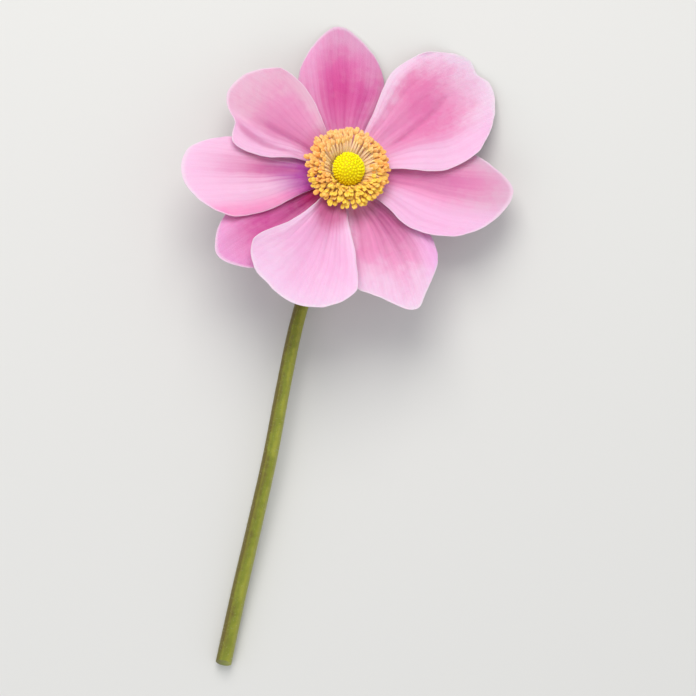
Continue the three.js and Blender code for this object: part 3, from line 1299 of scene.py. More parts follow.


# The tepals differ in lightness partly as painted light and shade, set to how each one lies in
# the light.
TEPALS = (
    Tepal(
        number=1,
        azimuth=90.2,
        layer=Layer.BOTTOM,
        edge_lifts=(-0.7, -0.7),
        tip_rise=0.36,
        groove=0.2,
        outline=((10, -5.4), (17, -9.3), (23, -9.4), (29.4, -6), (34, 0.4), (29.6, 6.1),
                 (22.5, 9.6), (16.5, 9.6), (9.5, 6)),
        # Tepal 1's deep pinks are partly its own colour and partly painted shade, on its face
        # that turns from the light.
        finish=TepalFinish(
            body="#cf5da0",
            edge="#d28db3",
            flush=Flush("#c63788", width=0.75, reach=0.78),
            flank=Flank("#df9ac2", Side.ANTICLOCKWISE, begins=0.15, strength=0.75),
            claw="#d884b7",
            claw_strength=0.8,
            claw_reach=0.56,
            veins=0.25,
        ),
    ),
    Tepal(
        number=2,
        azimuth=34.0,
        layer=Layer.TOP,
        edge_lifts=(1.0, 1.5),
        tip_rise=0.06,
        groove=0.45,
        ripple=0.25,
        outline=((9, -5.4), (18, -12), (27, -12.4), (34.8, -7.9), (38.6, -1.4), (37.5, 7),
                 (30.4, 12.2), (22, 12.9), (12, 7)),
        finish=TepalFinish(
            body="#d97ba9",
            edge="#e6c4da",
            flush=Flush("#d66ea4", start=0.1, width=0.75, reach=0.88),
            flank=Flank("#e9b3d5", Side.CLOCKWISE, begins=0.18, strength=0.9),
            claw="#e8a7cd",
            claw_strength=0.65,
            claw_reach=0.55,
            # painted shade in the crease
            hollow="#bc538b",
        ),
        creases=(Crease(0.36, start=-0.38, drift=0.73),),
        bays=(Bay((38.6, 2.6), depth=1.25, radius=2.1),),
    ),
    Tepal(
        number=3,
        azimuth=-9.0,
        layer=Layer.MIDDLE,
        edge_lifts=(0.9, -0.6),
        tip_rise=0.6,
        groove=0.4,
        ripple=0.15,
        outline=((8.5, -5.4), (16, -10.8), (25.5, -11.2), (33, -6.6), (37.2, 1.8),
                 (31.5, 7.2), (24.5, 9.8), (17, 9.4), (10, 6.3)),
        finish=TepalFinish(
            body="#e489b7",
            edge="#cda3b9",
            flush=Flush("#cc6fa3", start=0.02, drift=0.1, width=0.42, reach=0.94),
            # The pale flank on the lower half is partly painted light, on the half that faces the
            # light.
            flank=Flank("#e7b0d4", Side.CLOCKWISE, begins=0.1, strength=0.95),
        ),
        creases=(Crease(0.3, start=0.0, drift=0.05, width=0.16),),
    ),
    Tepal(
        number=4,
        azimuth=-66.0,
        layer=Layer.BOTTOM,
        edge_lifts=(-0.7, -0.7),
        tip_rise=0.3,
        groove=0.2,
        outline=((8.3, -4), (15, -8.2), (23, -10.6), (29.8, -5.3), (35, 0.4), (31.5, 5.2),
                 (25.7, 10.7), (19, 11.5), (11, 7.6)),
        finish=TepalFinish(
            body="#de88b6",
            edge="#e5bfd8",
            # The flush near the ring is partly painted shadow, cast by tepal 3's edge and the
            # stamens.
            flush=Flush("#ab4d84", start=0.3, width=0.75, reach=0.6),
            flank=Flank("#e8a9dc", Side.ANTICLOCKWISE, begins=0.4, strength=0.6),
            claw="#dc8cbc",
            claw_strength=0.85,
            claw_reach=0.34,
        ),
        plaits=Plaits(depth=0.26),
    ),
    Tepal(
        number=5,
        azimuth=-113.0,
        layer=Layer.TOP,
        edge_lifts=(1.3, 1.1),
        tip_rise=0.6,
        groove=0.35,
        ripple=0.25,
        outline=((9.2, -2.6), (16.4, -6.6), (24.8, -12.4), (30.5, -10.0), (34.4, 0.2),
                 (32.4, 7.4), (26.3, 12.1), (19, 9.6), (10, 4.2)),
        finish=TepalFinish(
            body="#e3a6cd",
            edge="#e4bcd8",
            flush=Flush(
                "#c7689f", start=-0.3, drift=0.5, width=0.75, reach=0.5, inner="#b8588c"
            ),
            claw="#b8588a",
            claw_strength=0.8,
            claw_begins=0.3,
            claw_reach=0.44,
            veins=0.15,
        ),
        bays=(Bay((31.6, -6.4), depth=0.5, radius=1.6),),
    ),
    Tepal(
        number=6,
        azimuth=214.0,
        layer=Layer.BOTTOM,
        edge_lifts=(-0.7, -0.7),
        tip_rise=-0.4,
        groove=0.2,
        outline=((9, -3.8), (17, -7.2), (26, -7), (32.6, -3.4), (35.2, 0.9), (32.2, 5.8),
                 (26, 9.2), (17.5, 8.2), (9.5, 4.9)),
        finish=TepalFinish(
            body="#d67ab1",
            edge="#d991c0",
            # The deep flush and claw are partly its own colour and partly painted shadow, from
            # tepals 7 and 5 that lie over it.
            flush=Flush("#c44092", width=0.9, reach=0.85, inner="#9c1e6c"),
            claw="#b82466",
            claw_strength=0.85,
        ),
        plaits=Plaits(depth=0.18, count=4.0),
        creases=(Crease(-0.8, start=-0.38, width=0.3, begins=0.33, ends=1.1),),
    ),
    Tepal(
        number=7,
        azimuth=185.5,
        layer=Layer.MIDDLE,
        edge_lifts=(-0.6, 0.4),
        tip_rise=0.8,
        groove=0.35,
        ripple=0.15,
        outline=((8.1, -4.5), (16, -7.9), (27, -9.3), (34.8, -6.4), (36.4, -0.2), (33, 5.6),
                 (26.5, 9.3), (18.5, 8.4), (10, 4.5)),
        finish=TepalFinish(
            body="#e4b2cf",
            edge="#e5b6d3",
            # The violet band near the ring is partly its own colour and partly painted shadow,
            # from tepal 8's edge above it.
            flush=Flush(
                "#cf7aa8", start=-0.05, drift=-0.3, width=0.42, reach=0.84, inner="#aa349c"
            ),
            flank=Flank("#e78db9", Side.ANTICLOCKWISE, begins=0.4, strength=1.0),
            claw="#a01a98",
            claw_strength=0.9,
            claw_begins=0.2,
            claw_reach=0.52,
            # painted shade in the crease
            hollow="#c2649b",
        ),
        creases=(Crease(0.4, start=-0.05, drift=-0.3, width=0.25, begins=0.18, ends=0.66),),
    ),
    Tepal(
        number=8,
        azimuth=145.0,
        layer=Layer.TOP,
        edge_lifts=(1.3, 1.0),
        tip_rise=0.2,
        groove=0.5,
        ripple=0.25,
        outline=((8.9, -5.2), (16, -9.6), (24.5, -10), (29.8, -5.4), (31, 0.6), (28, 5.8),
                 (22.9, 10.3), (16, 8.9), (9.8, 4.1)),
        finish=TepalFinish(
            body="#d687b1",
            edge="#d3a6bb",
            flush=Flush("#ca75a4", start=0.15),
            flank=Flank("#e7b1d2", Side.ANTICLOCKWISE, begins=0.2, strength=0.9),
            veins=0.25,
            # painted shade in the creases
            hollow="#bb6496",
        ),
        creases=(
            Crease(0.38, start=0.24, drift=-0.1, width=0.11, begins=0.1, ends=0.78),
            Crease(-0.4, start=0.88, drift=-0.6, width=0.12, begins=0.1, ends=0.95),
            Crease(0.5, start=0.92, drift=-0.44, width=0.13, begins=0.2, ends=1.0),
        ),
        bays=(Bay((27.0, 6.8), depth=1.9, radius=2.9),),
    ),
)


# ---- Stem ------------------------------------------------------------------------------


@dataclass(frozen=True)
class StemFinish(CoatedFinish):
    """Green stem with a brown-purple flush down one side, faint ribs and a pale cut."""

    name: str = "stem_skin"
    ground: str = "#7b8220"
    light: Coat = Coat("#999b33", 0.1, 0.75)
    flush: Coat = Coat("#604e16", -0.75, 0.15, before=0.85, after=0.0)
    rib: Coat = Coat("#999b33", 0.2, 1.0, after=0.25)
    top: Coat = Coat("#999b3c", 0.1, 0.9)
    pith: Coat = Coat("#cad09c", 0.3, 0.7)
    wander: float = 0.9
    mottle: float = 160.0
    grain: float = 3200.0
    roughness: Limits = (0.5, 0.68)
    skin: Skin = Skin(
        bump_depth=0.03, subsurface=0.08, subsurface_tint=(0.6, 0.9, 0.3), sheen=0.2
    )

    def coats(self, graph: Graph, cloud: Feed) -> list[tuple[Coat, Feed]]:
        """Lists the coats. The light and the flush wander a little with the clouds.

        Args:
            graph: the material's graph.
            cloud: the stem's clouds, 0 to 1.

        Returns:
            Each coat and the value that leads it, the lowest coat first.
        """
        across = graph.stray(cloud, self.wander, graph.read(Mark.ACROSS))
        return [
            (self.light, across),
            (self.flush, across),
            (self.rib, graph.read(Mark.RIB)),
            (self.top, graph.read(Mark.TOP)),
            (self.pith, graph.read(Mark.CUT)),
        ]


@dataclass(frozen=True)
class DownFinish:
    """Pale fine hairs."""

    pale: str = "#d0d2b5"
    green: str = "#999b33"
    mottle: float = 400.0
    roughness: float = 0.6
    skin: Skin = Skin(bump_depth=0.002, sheen=0.3)

    def material(self, patterns: Patterns) -> bpy.types.Material:
        """Makes the hairs' material.

        Args:
            patterns: the shared node groups.

        Returns:
            The material.
        """
        material, graph = start_material("stem_down")
        cloud = patterns.spread(graph, Pattern.MOTTLE, self.mottle)
        colour = graph.mix(cloud, linear(self.pale), linear(self.green))
        self.skin.shade(graph, colour, self.roughness, cloud)
        return material


@dataclass(frozen=True)
class Stem(SubAssembly):
    """Receptacle under the flower, and the stem down to its slanting cut.

    The path's points are steps from the flower's centre in the part's frame, but their
    heights are those above the floor.
    """

    receptacle_heights: tuple[float, ...] = (0.95, -1.0, -2.9)
    receptacle_radius: float = 3.3
    flare_limits: Limits = (2.9, 6.0)
    neck_radius: float = 1.45
    cut_radius: float = 1.75
    cut_slant: float = 0.45
    cut_rim: float = 0.22
    cut_slope: float = 0.45
    cut_depth: float = 0.25
    sides: int = 36
    stations: int = 230
    station_start: float = 0.25
    last_station: float = 0.9999
    ribs: int = 6
    rib_height: float = 0.035
    rib_phase: float = 0.4
    rib_run_in: float = 8.0
    top_fade: float = 6.0
    sharp_angle: float = 0.7
    hairs: int = 2600
    hair_length: float = 0.55
    hair_lengths: Limits = (0.6, 1.1)
    hair_radius: float = 0.022
    hair_tip_radius: float = 0.004
    hair_sides: int = 3
    hair_lean: float = 0.45
    hair_sunk: float = 0.09
    hairless_ends: Limits = (1.5, 1.2)
    hair_seed: int = 11
    floor_clearance: float = 0.02
    path: tuple[tuple[float, float, float], ...] = (
        (-1.05, -2.9, 4.1),
        (-2.2, -6.2, 2.5),
        (-4.2, -12.5, 2.6),
        (-7.2, -22, 3.9),
        (-10.4, -33, 5.3),
        (-13.3, -46.8, 6.1),
        (-16.2, -62, 5.9),
        (-19.6, -77, 4.7),
        (-23, -91.5, 3.05),
        (-26.4, -107, 1.81),
    )
    finish: StemFinish = StemFinish()
    down_finish: DownFinish = DownFinish()

    def _curve(self) -> MeasuredSpline:
        """Draws the centre line.

        Returns:
            The line from the receptacle's top to the cut, in the part's frame.
        """
        stand = STAND.matrix()
        top = [stand @ Vector((0, 0, height)) for height in self.receptacle_heights]
        centre = Vector((STAND.centre[0], STAND.centre[1], 0))
        below = [centre + Vector(step) for step in self.path]
        return MeasuredSpline(Spline((*top, *below)))

    def _radius(self, distance: float, length: float) -> float:
        """Radius of the stem.

        Args:
            distance: distance from the receptacle's top.
            length: length of the whole stem.

        Returns:
            The radius there.
        """
        shaft = lerp(self.neck_radius, self.cut_radius, distance / length)
        flare = smoothstep(distance, *self.flare_limits)
        return lerp(self.receptacle_radius, shaft, flare)

    @staticmethod
    def _axes(tangent: Vector) -> tuple[Vector, Vector]:
        """Directions across the stem: sideways, and up."""
        side = (Vector((1, 0, 0)) - tangent * tangent.x).normalized()
        return side, tangent.cross(side)

    def build(self, patterns: Patterns) -> list[bpy.types.Object]:
        """Builds and dresses the stem and its hairs.

        Args:
            patterns: the shared node groups.

        Returns:
            The pieces.
        """
        curve = self._curve()
        skin = self.finish.material(patterns)
        tube = make_piece(self._tube(curve), "stem_tube", Matrix.Identity(4), [skin], "stem")
        fuzz = self.down_finish.material(patterns)
        down = make_piece(self._down(curve), "stem_down", Matrix.Identity(4), [fuzz], "stem")
        return [tube, down]

    def _tube(self, curve: MeasuredSpline) -> bmesh.types.BMesh:
        """Models the stem with its receptacle, ribs and hollow cut.

        Args:
            curve: its centre line.

        Returns:
            The mesh.
        """
        bm = bmesh.new()
        straight_tube(bm, self.sides, self.stations)
        cut_face = max(bm.faces, key=lambda face: face.calc_center_median().z)
        insets: list[list[bmesh.types.BMVert]] = []
        for width in (self.cut_rim, self.cut_slope):
            bmesh.ops.inset_region(bm, faces=[cut_face], thickness=width, use_even_offset=True)
            insets.append(list(cut_face.verts))
        slope, hollow = insets
        across, rib, top, cut = (
            mark.layer(bm) for mark in (Mark.ACROSS, Mark.RIB, Mark.TOP, Mark.CUT)
        )
        flare_from, flare_to = self.flare_limits
        for vert in bm.verts:
            station = vert.co.z
            distance = station * lerp(self.station_start, 1, station) * curve.length
            tangent = curve.tangent(distance)
            side, rise = self._axes(tangent)
            around = math.atan2(vert.co.y, vert.co.x)
            ribbed = smoothstep(distance, flare_to, flare_to + self.rib_run_in)
            wave = math.cos(self.ribs * around + self.rib_phase)
            radius = self._radius(distance, curve.length)
            radius -= self.rib_height * ribbed * (1 - wave)
            vert[across] = vert.co.x
            vert[rib] = wave * ribbed
            vert[top] = 1 - smoothstep(distance, flare_from, flare_to + self.top_fade)
            vert[cut] = 1.0 if vert in slope or vert in hollow else 0.0
            slant = self.cut_slant * radius * vert.co.y if station > self.last_station else 0.0
            sunk = self.cut_depth if vert in hollow else 0.0
            vert.co = (
                curve.at(distance)
                + side * radius * vert.co.x
                + rise * radius * vert.co.y
                - tangent * (slant + sunk)
            )
        bmesh.ops.recalc_face_normals(bm, faces=bm.faces)
        for edge in bm.edges:
            if len(edge.link_faces) == 2 and edge.calc_face_angle() > self.sharp_angle:
                edge.smooth = False
        return bm

    def _down(self, curve: MeasuredSpline) -> bmesh.types.BMesh:
        """Models the fine hairs on the stem, and leaves out those that would meet the floor.

        Args:
            curve: the stem's centre line.

        Returns:
            The mesh.
        """
        chance = random.Random(self.hair_seed)
        hair = bmesh.new()
        bmesh.ops.create_cone(
            hair,
            cap_ends=False,
            segments=self.hair_sides,
            radius1=self.hair_radius,
            radius2=self.hair_tip_radius,
            depth=1,
        )
        bmesh.ops.translate(hair, vec=(0, 0, 0.5), verts=hair.verts)
        bm = bmesh.new()
        copies = Copies(bm, hair)
        first = self.flare_limits[0] + self.hairless_ends[0]
        last = curve.length - self.hairless_ends[1]
        for _ in range(self.hairs):
            distance = lerp(first, last, chance.random())
            side, rise = self._axes(curve.tangent(distance))
            around = 2 * math.pi * chance.random()
            out = side * math.cos(around) + rise * math.sin(around)
            radius = self._radius(distance, curve.length) - self.hair_sunk
            root = curve.at(distance) + out * radius
            direction = (out + scattered(chance, self.hair_lean)).normalized()
            length = self.hair_length * chance.uniform(*self.hair_lengths)
            if (root + direction * length).z < self.floor_clearance:
                continue
            scale = Matrix.Diagonal((1, 1, length, 1))
            matrix = Matrix.Translation(root) @ turned_to(direction) @ scale
            bmesh.ops.transform(bm, matrix=matrix, verts=copies.add())
        copies.done()
        return bm


# ---- Stamens ---------------------------------------------------------------------------


@dataclass(frozen=True)
class FilamentFinish(CoatedFinish):
    """Filaments that pale from root to middle, with gold low on the ring that is partly painted
    shade.
    """

    name: str = "filament"
    ground: str = "#ffe4b0"
    middle: Coat = Coat("#ffdec6", 0.0, 0.45)
    tip: Coat = Coat("#ffd898", 0.55, 1.0)
    # darker gold low on the ring: part colour, part painted shade on the ring's side away from
    # the light
    gold: Coat = Coat("#f2b83c", -0.9, -0.1, before=0.75, after=0.0)
    pollen: Coat = Coat("#ffe890", 0.2, 1.0, after=0.3)
    mottle: float = 300.0
    grain: float = 9000.0
    roughness: Limits = (0.45, 0.6)
    skin: Skin = Skin(
        bump_depth=0.01,
        subsurface=0.08,
        subsurface_depth=0.2,
        subsurface_tint=(1.0, 0.6, 0.3),
        specular=0.3,
    )

    def coats(self, graph: Graph, cloud: Feed) -> list[tuple[Coat, Feed]]:
        """Coats of a filament, from root to tip, then the gold round the ring, partly painted
        shade.
        """
        reach, tone = graph.read(Mark.REACH), graph.read(Mark.TONE)
        return [(self.middle, reach), (self.tip, reach), (self.gold, tone), (self.pollen, cloud)]


@dataclass(frozen=True)
class AntherFinish(CoatedFinish):
    """Anthers that run from gold low on the ring, through orange, to peach high on it."""

    name: str = "anther"
    ground: str = "#ffda50"
    orange: Coat = Coat("#ffba66", -0.9, -0.1)
    peach: Coat = Coat("#ffcc88", 0.1, 1.0)
    pollen: Coat = Coat("#ffe890", 0.35, 1.0, after=0.4)
    seam: Coat = Coat("#f0983a", 0.3, 1.0, after=0.4)
    mottle: float = 900.0
    grain: float = 11000.0
    roughness: Limits = (0.6, 0.8)
    skin: Skin = Skin(
        bump_depth=0.03,
        subsurface=0.1,
        subsurface_depth=0.25,
        subsurface_tint=(1.0, 0.55, 0.2),
        specular=0.25,
    )

    def coats(self, graph: Graph, cloud: Feed) -> list[tuple[Coat, Feed]]:
        """Coats of an anther: its own tone, then pollen, and a darker seam."""
        tone, seam = graph.read(Mark.TONE), graph.read(Mark.SEAM)
        return [(self.orange, tone), (self.peach, tone), (self.pollen, cloud), (self.seam, seam)]


@dataclass(frozen=True)
class StamenRow:
    """One ring of stamens, or an arc: radius and height of its roots and of its tips."""

    count: int
    root: tuple[float, float]
    tip: tuple[float, float]
    first_degrees: float = 0.0
    sweep_degrees: float = 360.0


@dataclass(frozen=True)
class StamenRing(SubAssembly):
    """The stamens, several rings of them on a collar round the pistil head."""

    rows: tuple[StamenRow, ...] = (
        StamenRow(54, root=(4.2, 2.2), tip=(8.3, 4.1)),
        StamenRow(54, root=(4.0, 2.4), tip=(7.85, 4.9)),
        StamenRow(48, root=(3.8, 2.6), tip=(7.15, 5.5)),
        StamenRow(42, root=(3.7, 2.7), tip=(6.35, 5.9)),
        StamenRow(38, root=(3.6, 2.8), tip=(5.6, 6.0)),
        StamenRow(20, root=(3.85, 2.8), tip=(5.1, 5.0), first_degrees=190.0, sweep_degrees=160.0),
    )
    shift: tuple[float, float, float] = (0.18, -0.2, 0.0)
    row_stagger: float = 0.37
    step_scatter: float = 0.5
    tip_scatter: float = 0.75
    side_scatter: float = 0.35
    tone_scatter: float = 0.5
    seed: int = 19
    root_sunk: float = 0.15
    arch: float = 0.9
    arch_scatter: Limits = (0.4, 1.1)
    filament_root_radius: float = 0.36
    filament_tip_radius: float = 0.22
    filament_sides: int = 6
    filament_stations: int = 5
    anther_length: float = 1.6
    anther_width: float = 1.08
    anther_depth: float = 0.75
    anther_segments: int = 8
    anther_rings: int = 6
    anther_lean: float = 0.35
    anther_roll: float = 0.6
    anther_sizes: Limits = (0.85, 1.1)
    anther_overlap: float = 0.3
    seam_depth: float = 0.45
    seam_limits: Limits = (0.02, 0.3)
    seam_dent: float = 0.08
    collar_steps: int = 48
    collar: tuple[tuple[float, float], ...] = (
        (3.0, 1.0),
        (3.3, 1.75),
        (4.3, 1.9),
        (6.1, 2.5),
        (6.3, 2.8),
        (6.1, 3.2),
        (5.3, 3.6),
        (4.8, 3.75),
        (4.45, 3.6),
        (4.1, 3.1),
        (3.4, 2.7),
        (2.6, 2.55),
    )
    filament_finish: FilamentFinish = FilamentFinish()
    anther_finish: AntherFinish = AntherFinish()

    def _anther(self) -> bmesh.types.BMesh:
        """Models one anther: two lobes with a seam between them.

        Returns:
            The mesh, which points along Z from 0.
        """
        bm = bmesh.new()
        bmesh.ops.create_uvsphere(
            bm, u_segments=self.anther_segments, v_segments=self.anther_rings, radius=0.5
        )
        seam = Mark.SEAM.layer(bm)
        for vert in bm.verts:
            middle = 1 - smoothstep(abs(vert.co.x), *self.seam_limits)
            vert[seam] = middle
            vert.co.y *= 1 - self.seam_depth * middle
            vert.co.z += 0.5 - self.seam_dent * middle * (1 if vert.co.z > 0 else -1)
        size = (self.anther_width, self.anther_depth, self.anther_length)
        bmesh.ops.scale(bm, vec=size, verts=bm.verts)
        return bm

    def _filament(self) -> bmesh.types.BMesh:
        """Models one straight filament.

        Returns:
            The mesh, of radius 1 and along Z from 0 to 1.
        """
        bm = bmesh.new()
        straight_tube(bm, self.filament_sides, self.filament_stations)
        reach = Mark.REACH.layer(bm)
        for vert in bm.verts:
            vert[reach] = vert.co.z
        return bm

    def build(self, patterns: Patterns) -> list[bpy.types.Object]:
        """Builds and dresses filaments, anthers and collar.

        Args:
            patterns: the shared node groups.

        Returns:
            The pieces.
        """
        chance = random.Random(self.seed)
        filaments, anthers = bmesh.new(), bmesh.new()
        filament_tone = Mark.TONE.layer(filaments)
        anther_tone = Mark.TONE.layer(anthers)
        filament_copies = Copies(filaments, self._filament())
        anther_copies = Copies(anthers, self._anther())
        for number, row in enumerate(self.rows):
            for i in range(row.count):
                stagger = number * self.row_stagger
                step = i + stagger + self.step_scatter * (chance.random() - 0.5)
                angle = math.radians(row.first_degrees + row.sweep_degrees * step / row.count)
                out = Vector((math.cos(angle), math.sin(angle), 0))
                round_ring = Vector((-out.y, out.x, 0))
                reach = row.tip[0] + self.tip_scatter * (chance.random() - 0.5)
                height = row.tip[1] + self.tip_scatter * (chance.random() - 0.5)
                root = out * row.root[0] + Vector((0, 0, row.root[1] - self.root_sunk))
                drift = round_ring * chance.uniform(-self.side_scatter, self.side_scatter)
                tip = out * reach + Vector((0, 0, height)) + drift
                arch = self.arch * chance.uniform(*self.arch_scatter)
                bend = (root + tip) / 2 + Vector((0, 0, arch))
                # tone leads the filament's painted shade, darkest on the ring's side away from
                # the light
                thread = filament_copies.add({filament_tone: out.y})
                self._lay_filament(thread, root, bend, tip, round_ring)
                tone = out.y + chance.uniform(-self.tone_scatter, self.tone_scatter)
                anther = anther_copies.add({anther_tone: tone})
                self._set_anther(anther, tip, (tip - bend).normalized(), chance)
        filament_copies.done()
        anther_copies.done()
        stand = STAND.matrix() @ Matrix.Translation(self.shift)
        threads = self.filament_finish.material(patterns)
        heads = self.anther_finish.material(patterns)
        return [
            make_piece(filaments, "stamen_filaments", stand, [threads], "stamens"),
            make_piece(anthers, "stamen_anthers", stand, [heads], "stamens"),
            make_piece(self._collar(), "stamen_collar", stand, [threads], "stamens"),
        ]

    def _lay_filament(
        self,
        verts: Sequence[bmesh.types.BMVert],
        root: Vector,
        bend: Vector,
        tip: Vector,
        round_ring: Vector,
    ) -> None:
        """Lays a straight filament along an arching line.

        Args:
            verts: the straight filament's vertices.
            root: where it starts.
            bend: point that pulls the line up.
            tip: where it ends.
            round_ring: direction round the ring.
        """

        def where(local: Vector) -> Vector:
            """Finds the place of a point of the straight filament.

            Args:
                local: the point.

            Returns:
                Its place on the arching one.
            """
            share = local.z
            point = root * (1 - share) ** 2 + bend * (2 * share * (1 - share)) + tip * share**2
            tangent = ((bend - root) * (1 - share) + (tip - bend) * share).normalized()
            across = (round_ring - tangent * round_ring.dot(tangent)).normalized()
            radius = lerp(self.filament_root_radius, self.filament_tip_radius, share)
            return point + radius * (across * local.x + tangent.cross(across) * local.y)

        place_on(verts, where)

    def _set_anther(
        self,
        verts: Sequence[bmesh.types.BMVert],
        tip: Vector,
        direction: Vector,
        chance: random.Random,
    ) -> None:
        """Sets an anther on a filament's tip.

        Args:
            verts: the anther's vertices.
            tip: the filament's tip.
            direction: the filament's direction there.
            chance: source of the scatter.
        """
        turn = turned_to((direction + scattered(chance, self.anther_lean)).normalized())
        roll = Matrix.Rotation(chance.uniform(-self.anther_roll, self.anther_roll), 4, "Z")
        size = Matrix.Scale(chance.uniform(*self.anther_sizes), 4)
        start = Matrix.Translation(tip - direction * self.anther_overlap)
        matrix = start @ turn @ roll @ size
        place_on(verts, lambda local: matrix @ local)

    def _collar(self) -> bmesh.types.BMesh:
        """Turns the collar that the filaments grow from about the flower's axis.

        Returns:
            The mesh, with reach and tone at 0 all over.
        """
        bm = bmesh.new()
        for mark in (Mark.REACH, Mark.TONE):
            mark.layer(bm)
        verts = [bm.verts.new((radius, 0, height)) for radius, height in self.collar]
        edges = [bm.edges.new(pair) for pair in zip(verts, verts[1:])]
        bmesh.ops.spin(
            bm,
            geom=[*verts, *edges],
            cent=(0, 0, 0),
            axis=(0, 0, 1),
            angle=2 * math.pi,
            steps=self.collar_steps,
            use_merge=True,
        )
        bmesh.ops.holes_fill(bm, edges=[e for e in bm.edges if e.is_boundary], sides=0)
        bmesh.ops.recalc_face_normals(bm, faces=bm.faces)
        return bm


# ---- Pistil head -----------------------------------------------------------------------


@dataclass(frozen=True)
class PistilFinish(CoatedFinish):
    """Lemon carpels with brighter tips, and dark gold painted shade on the head's lower side."""

    name: str = "pistil"
    ground: str = "#e6c800"
    base: Coat = Coat("#f2da00", 0.05, 0.4)
    tip: Coat = Coat("#fff600", 0.35, 0.7)
    patches: Coat = Coat("#f2da00", 0.3, 1.0, after=0.2)
    style: Coat = Coat("#fffa50", 0.88, 1.0, after=0.4)
    # painted shade: dark gold on the head's side away from the light
    low: Coat = Coat("#dcb000", -1.0, 0.1, before=0.7, after=0.0)
    mottle: float = 420.0
    grain: float = 8000.0
    roughness: Limits = (0.4, 0.6)
    skin: Skin = Skin(
        bump_depth=0.02,
        subsurface=0.5,
        subsurface_depth=0.7,
        subsurface_tint=(0.9, 0.8, 0.1),
        specular=0.15,
    )

    def coats(self, graph: Graph, cloud: Feed) -> list[tuple[Coat, Feed]]:
        """Lists the coats, which core and carpels share.

        Args:
            graph: the material's graph.
            cloud: the head's clouds, 0 to 1.

        Returns:
            Each coat and the value that leads it, the lowest coat first.
        """
        reach = graph.read(Mark.REACH)
        return [
            (self.base, reach),
            (self.tip, reach),
            (self.patches, cloud),
            (self.style, reach),
            # painted shade, darkest where the head faces away from the light
            (self.low, graph.read(Mark.HEIGHT)),
        ]


@dataclass(frozen=True)
class PistilHead(SubAssembly):
    """Ball of crowded carpels in the middle of the flower."""

    radii: tuple[float, float, float] = (3.3, 3.6, 2.9)
    centre: float = 4.9
    underside: float = 2.85
    shift: tuple[float, float, float] = (0.2, -0.8, 0.0)
    core_subdivisions: int = 4
    carpels: int = 210
    last_carpel_degrees: float = 118.0
    carpel_radius: float = 0.37
    carpel_length: float = 1.0
    carpel_lengths: Limits = (0.92, 1.08)
    carpel_lean: float = 0.12
    carpel_sunk: float = 0.66
    carpel_segments: int = 7
    carpel_rings: int = 5
    style_narrowing: float = 0.45
    style_begins: float = 0.55
    seed: int = 3
    finish: PistilFinish = PistilFinish()

    def _surface(self, direction: Vector) -> Vector:
        """Finds a point of the core.

        Args:
            direction: direction from the core's centre.

        Returns:
            The point, which is never below the core's flat underside.
        """
        point = Vector([part * radius for part, radius in zip(direction, self.radii)])
        point.z = max(point.z + self.centre, self.underside)
        return point

    def _carpel(self) -> bmesh.types.BMesh:
        """Models one carpel: a rounded drop that narrows into its style.

        Returns:
            The mesh, which runs along Z from 0 to 1.
        """
        bm = bmesh.new()
        bmesh.ops.create_uvsphere(
            bm, u_segments=self.carpel_segments, v_segments=self.carpel_rings, radius=1
        )
        reach = Mark.REACH.layer(bm)
        for vert in bm.verts:
            up = (vert.co.z + 1) / 2
            narrowing = 1 - self.style_narrowing * smoothstep(up, self.style_begins, 1.0)
            vert.co = (vert.co.x * narrowing, vert.co.y * narrowing, up)
            vert[reach] = up
        return bm

    def _core(self) -> bmesh.types.BMesh:
        """Models the core that the carpels sit on.

        Returns:
            The mesh, with reach at 0 all over.
        """
        bm = bmesh.new()
        bmesh.ops.create_icosphere(bm, subdivisions=self.core_subdivisions, radius=1)
        Mark.REACH.layer(bm)
        height = Mark.HEIGHT.layer(bm)
        for vert in bm.verts:
            direction = vert.co.normalized()
            # which way the point faces, for the painted shade on the side away from the light
            vert[height] = direction.y
            vert.co = self._surface(direction)
        return bm

    def _carpels(self) -> bmesh.types.BMesh:
        """Sets the carpels on the core, in the spiral of a seed head.

        Returns:
            The mesh.
        """
        chance = random.Random(self.seed)
        bm = bmesh.new()
        light_side_mark = Mark.HEIGHT.layer(bm)
        copies = Copies(bm, self._carpel())
        lowest = math.cos(math.radians(self.last_carpel_degrees))
        golden_angle = math.pi * (3 - math.sqrt(5))
        for i in range(self.carpels):
            height = 1 - (1 - lowest) * (i + 0.5) / self.carpels
            ring = math.sqrt(1 - height**2)
            angle = i * golden_angle
            direction = Vector((ring * math.cos(angle), ring * math.sin(angle), height))
            slope = Vector([part / radius for part, radius in zip(direction, self.radii)])
            slope.normalize()
            turn = turned_to(slope + scattered(chance, self.carpel_lean))
            length = self.carpel_length * chance.uniform(*self.carpel_lengths)
            size = Matrix.Diagonal((self.carpel_radius, self.carpel_radius, length, 1))
            start = Matrix.Translation(self._surface(direction) - slope * self.carpel_sunk)
            # which way the carpel faces, for the painted shade on the side away from the light
            carpel = copies.add({light_side_mark: direction.y})
            bmesh.ops.transform(bm, matrix=start @ turn @ size, verts=carpel)
        copies.done()
        return bm

    def build(self, patterns: Patterns) -> list[bpy.types.Object]:
        """Builds and dresses the core and its carpels.

        Args:
            patterns: the shared node groups.

        Returns:
            The pieces.
        """
        stand = STAND.matrix() @ Matrix.Translation(self.shift)
        finish = self.finish.material(patterns)
        return [
            make_piece(self._core(), "pistil_core", stand, [finish], "pistil_head"),
            make_piece(self._carpels(), "pistil_carpels", stand, [finish], "pistil_head"),
        ]


# ---- Studio ----------------------------------------------------------------------------


@dataclass(frozen=True)
class SoftLight:
    """A square soft light that shines at the flower. Its distance and size are metres."""

    name: str
    azimuth: float
    elevation: float
    distance: float
    size: float
    power: float
    tint: Tint

    def direction(self) -> Vector:
        """Works out where the light is seen.

        Returns:
            The direction from the flower to the light.
        """
        azimuth, elevation = math.radians(self.azimuth), math.radians(self.elevation)
        flat = math.cos(elevation)
        return Vector(
            (math.cos(azimuth) * flat, math.sin(azimuth) * flat, math.sin(elevation))
        )


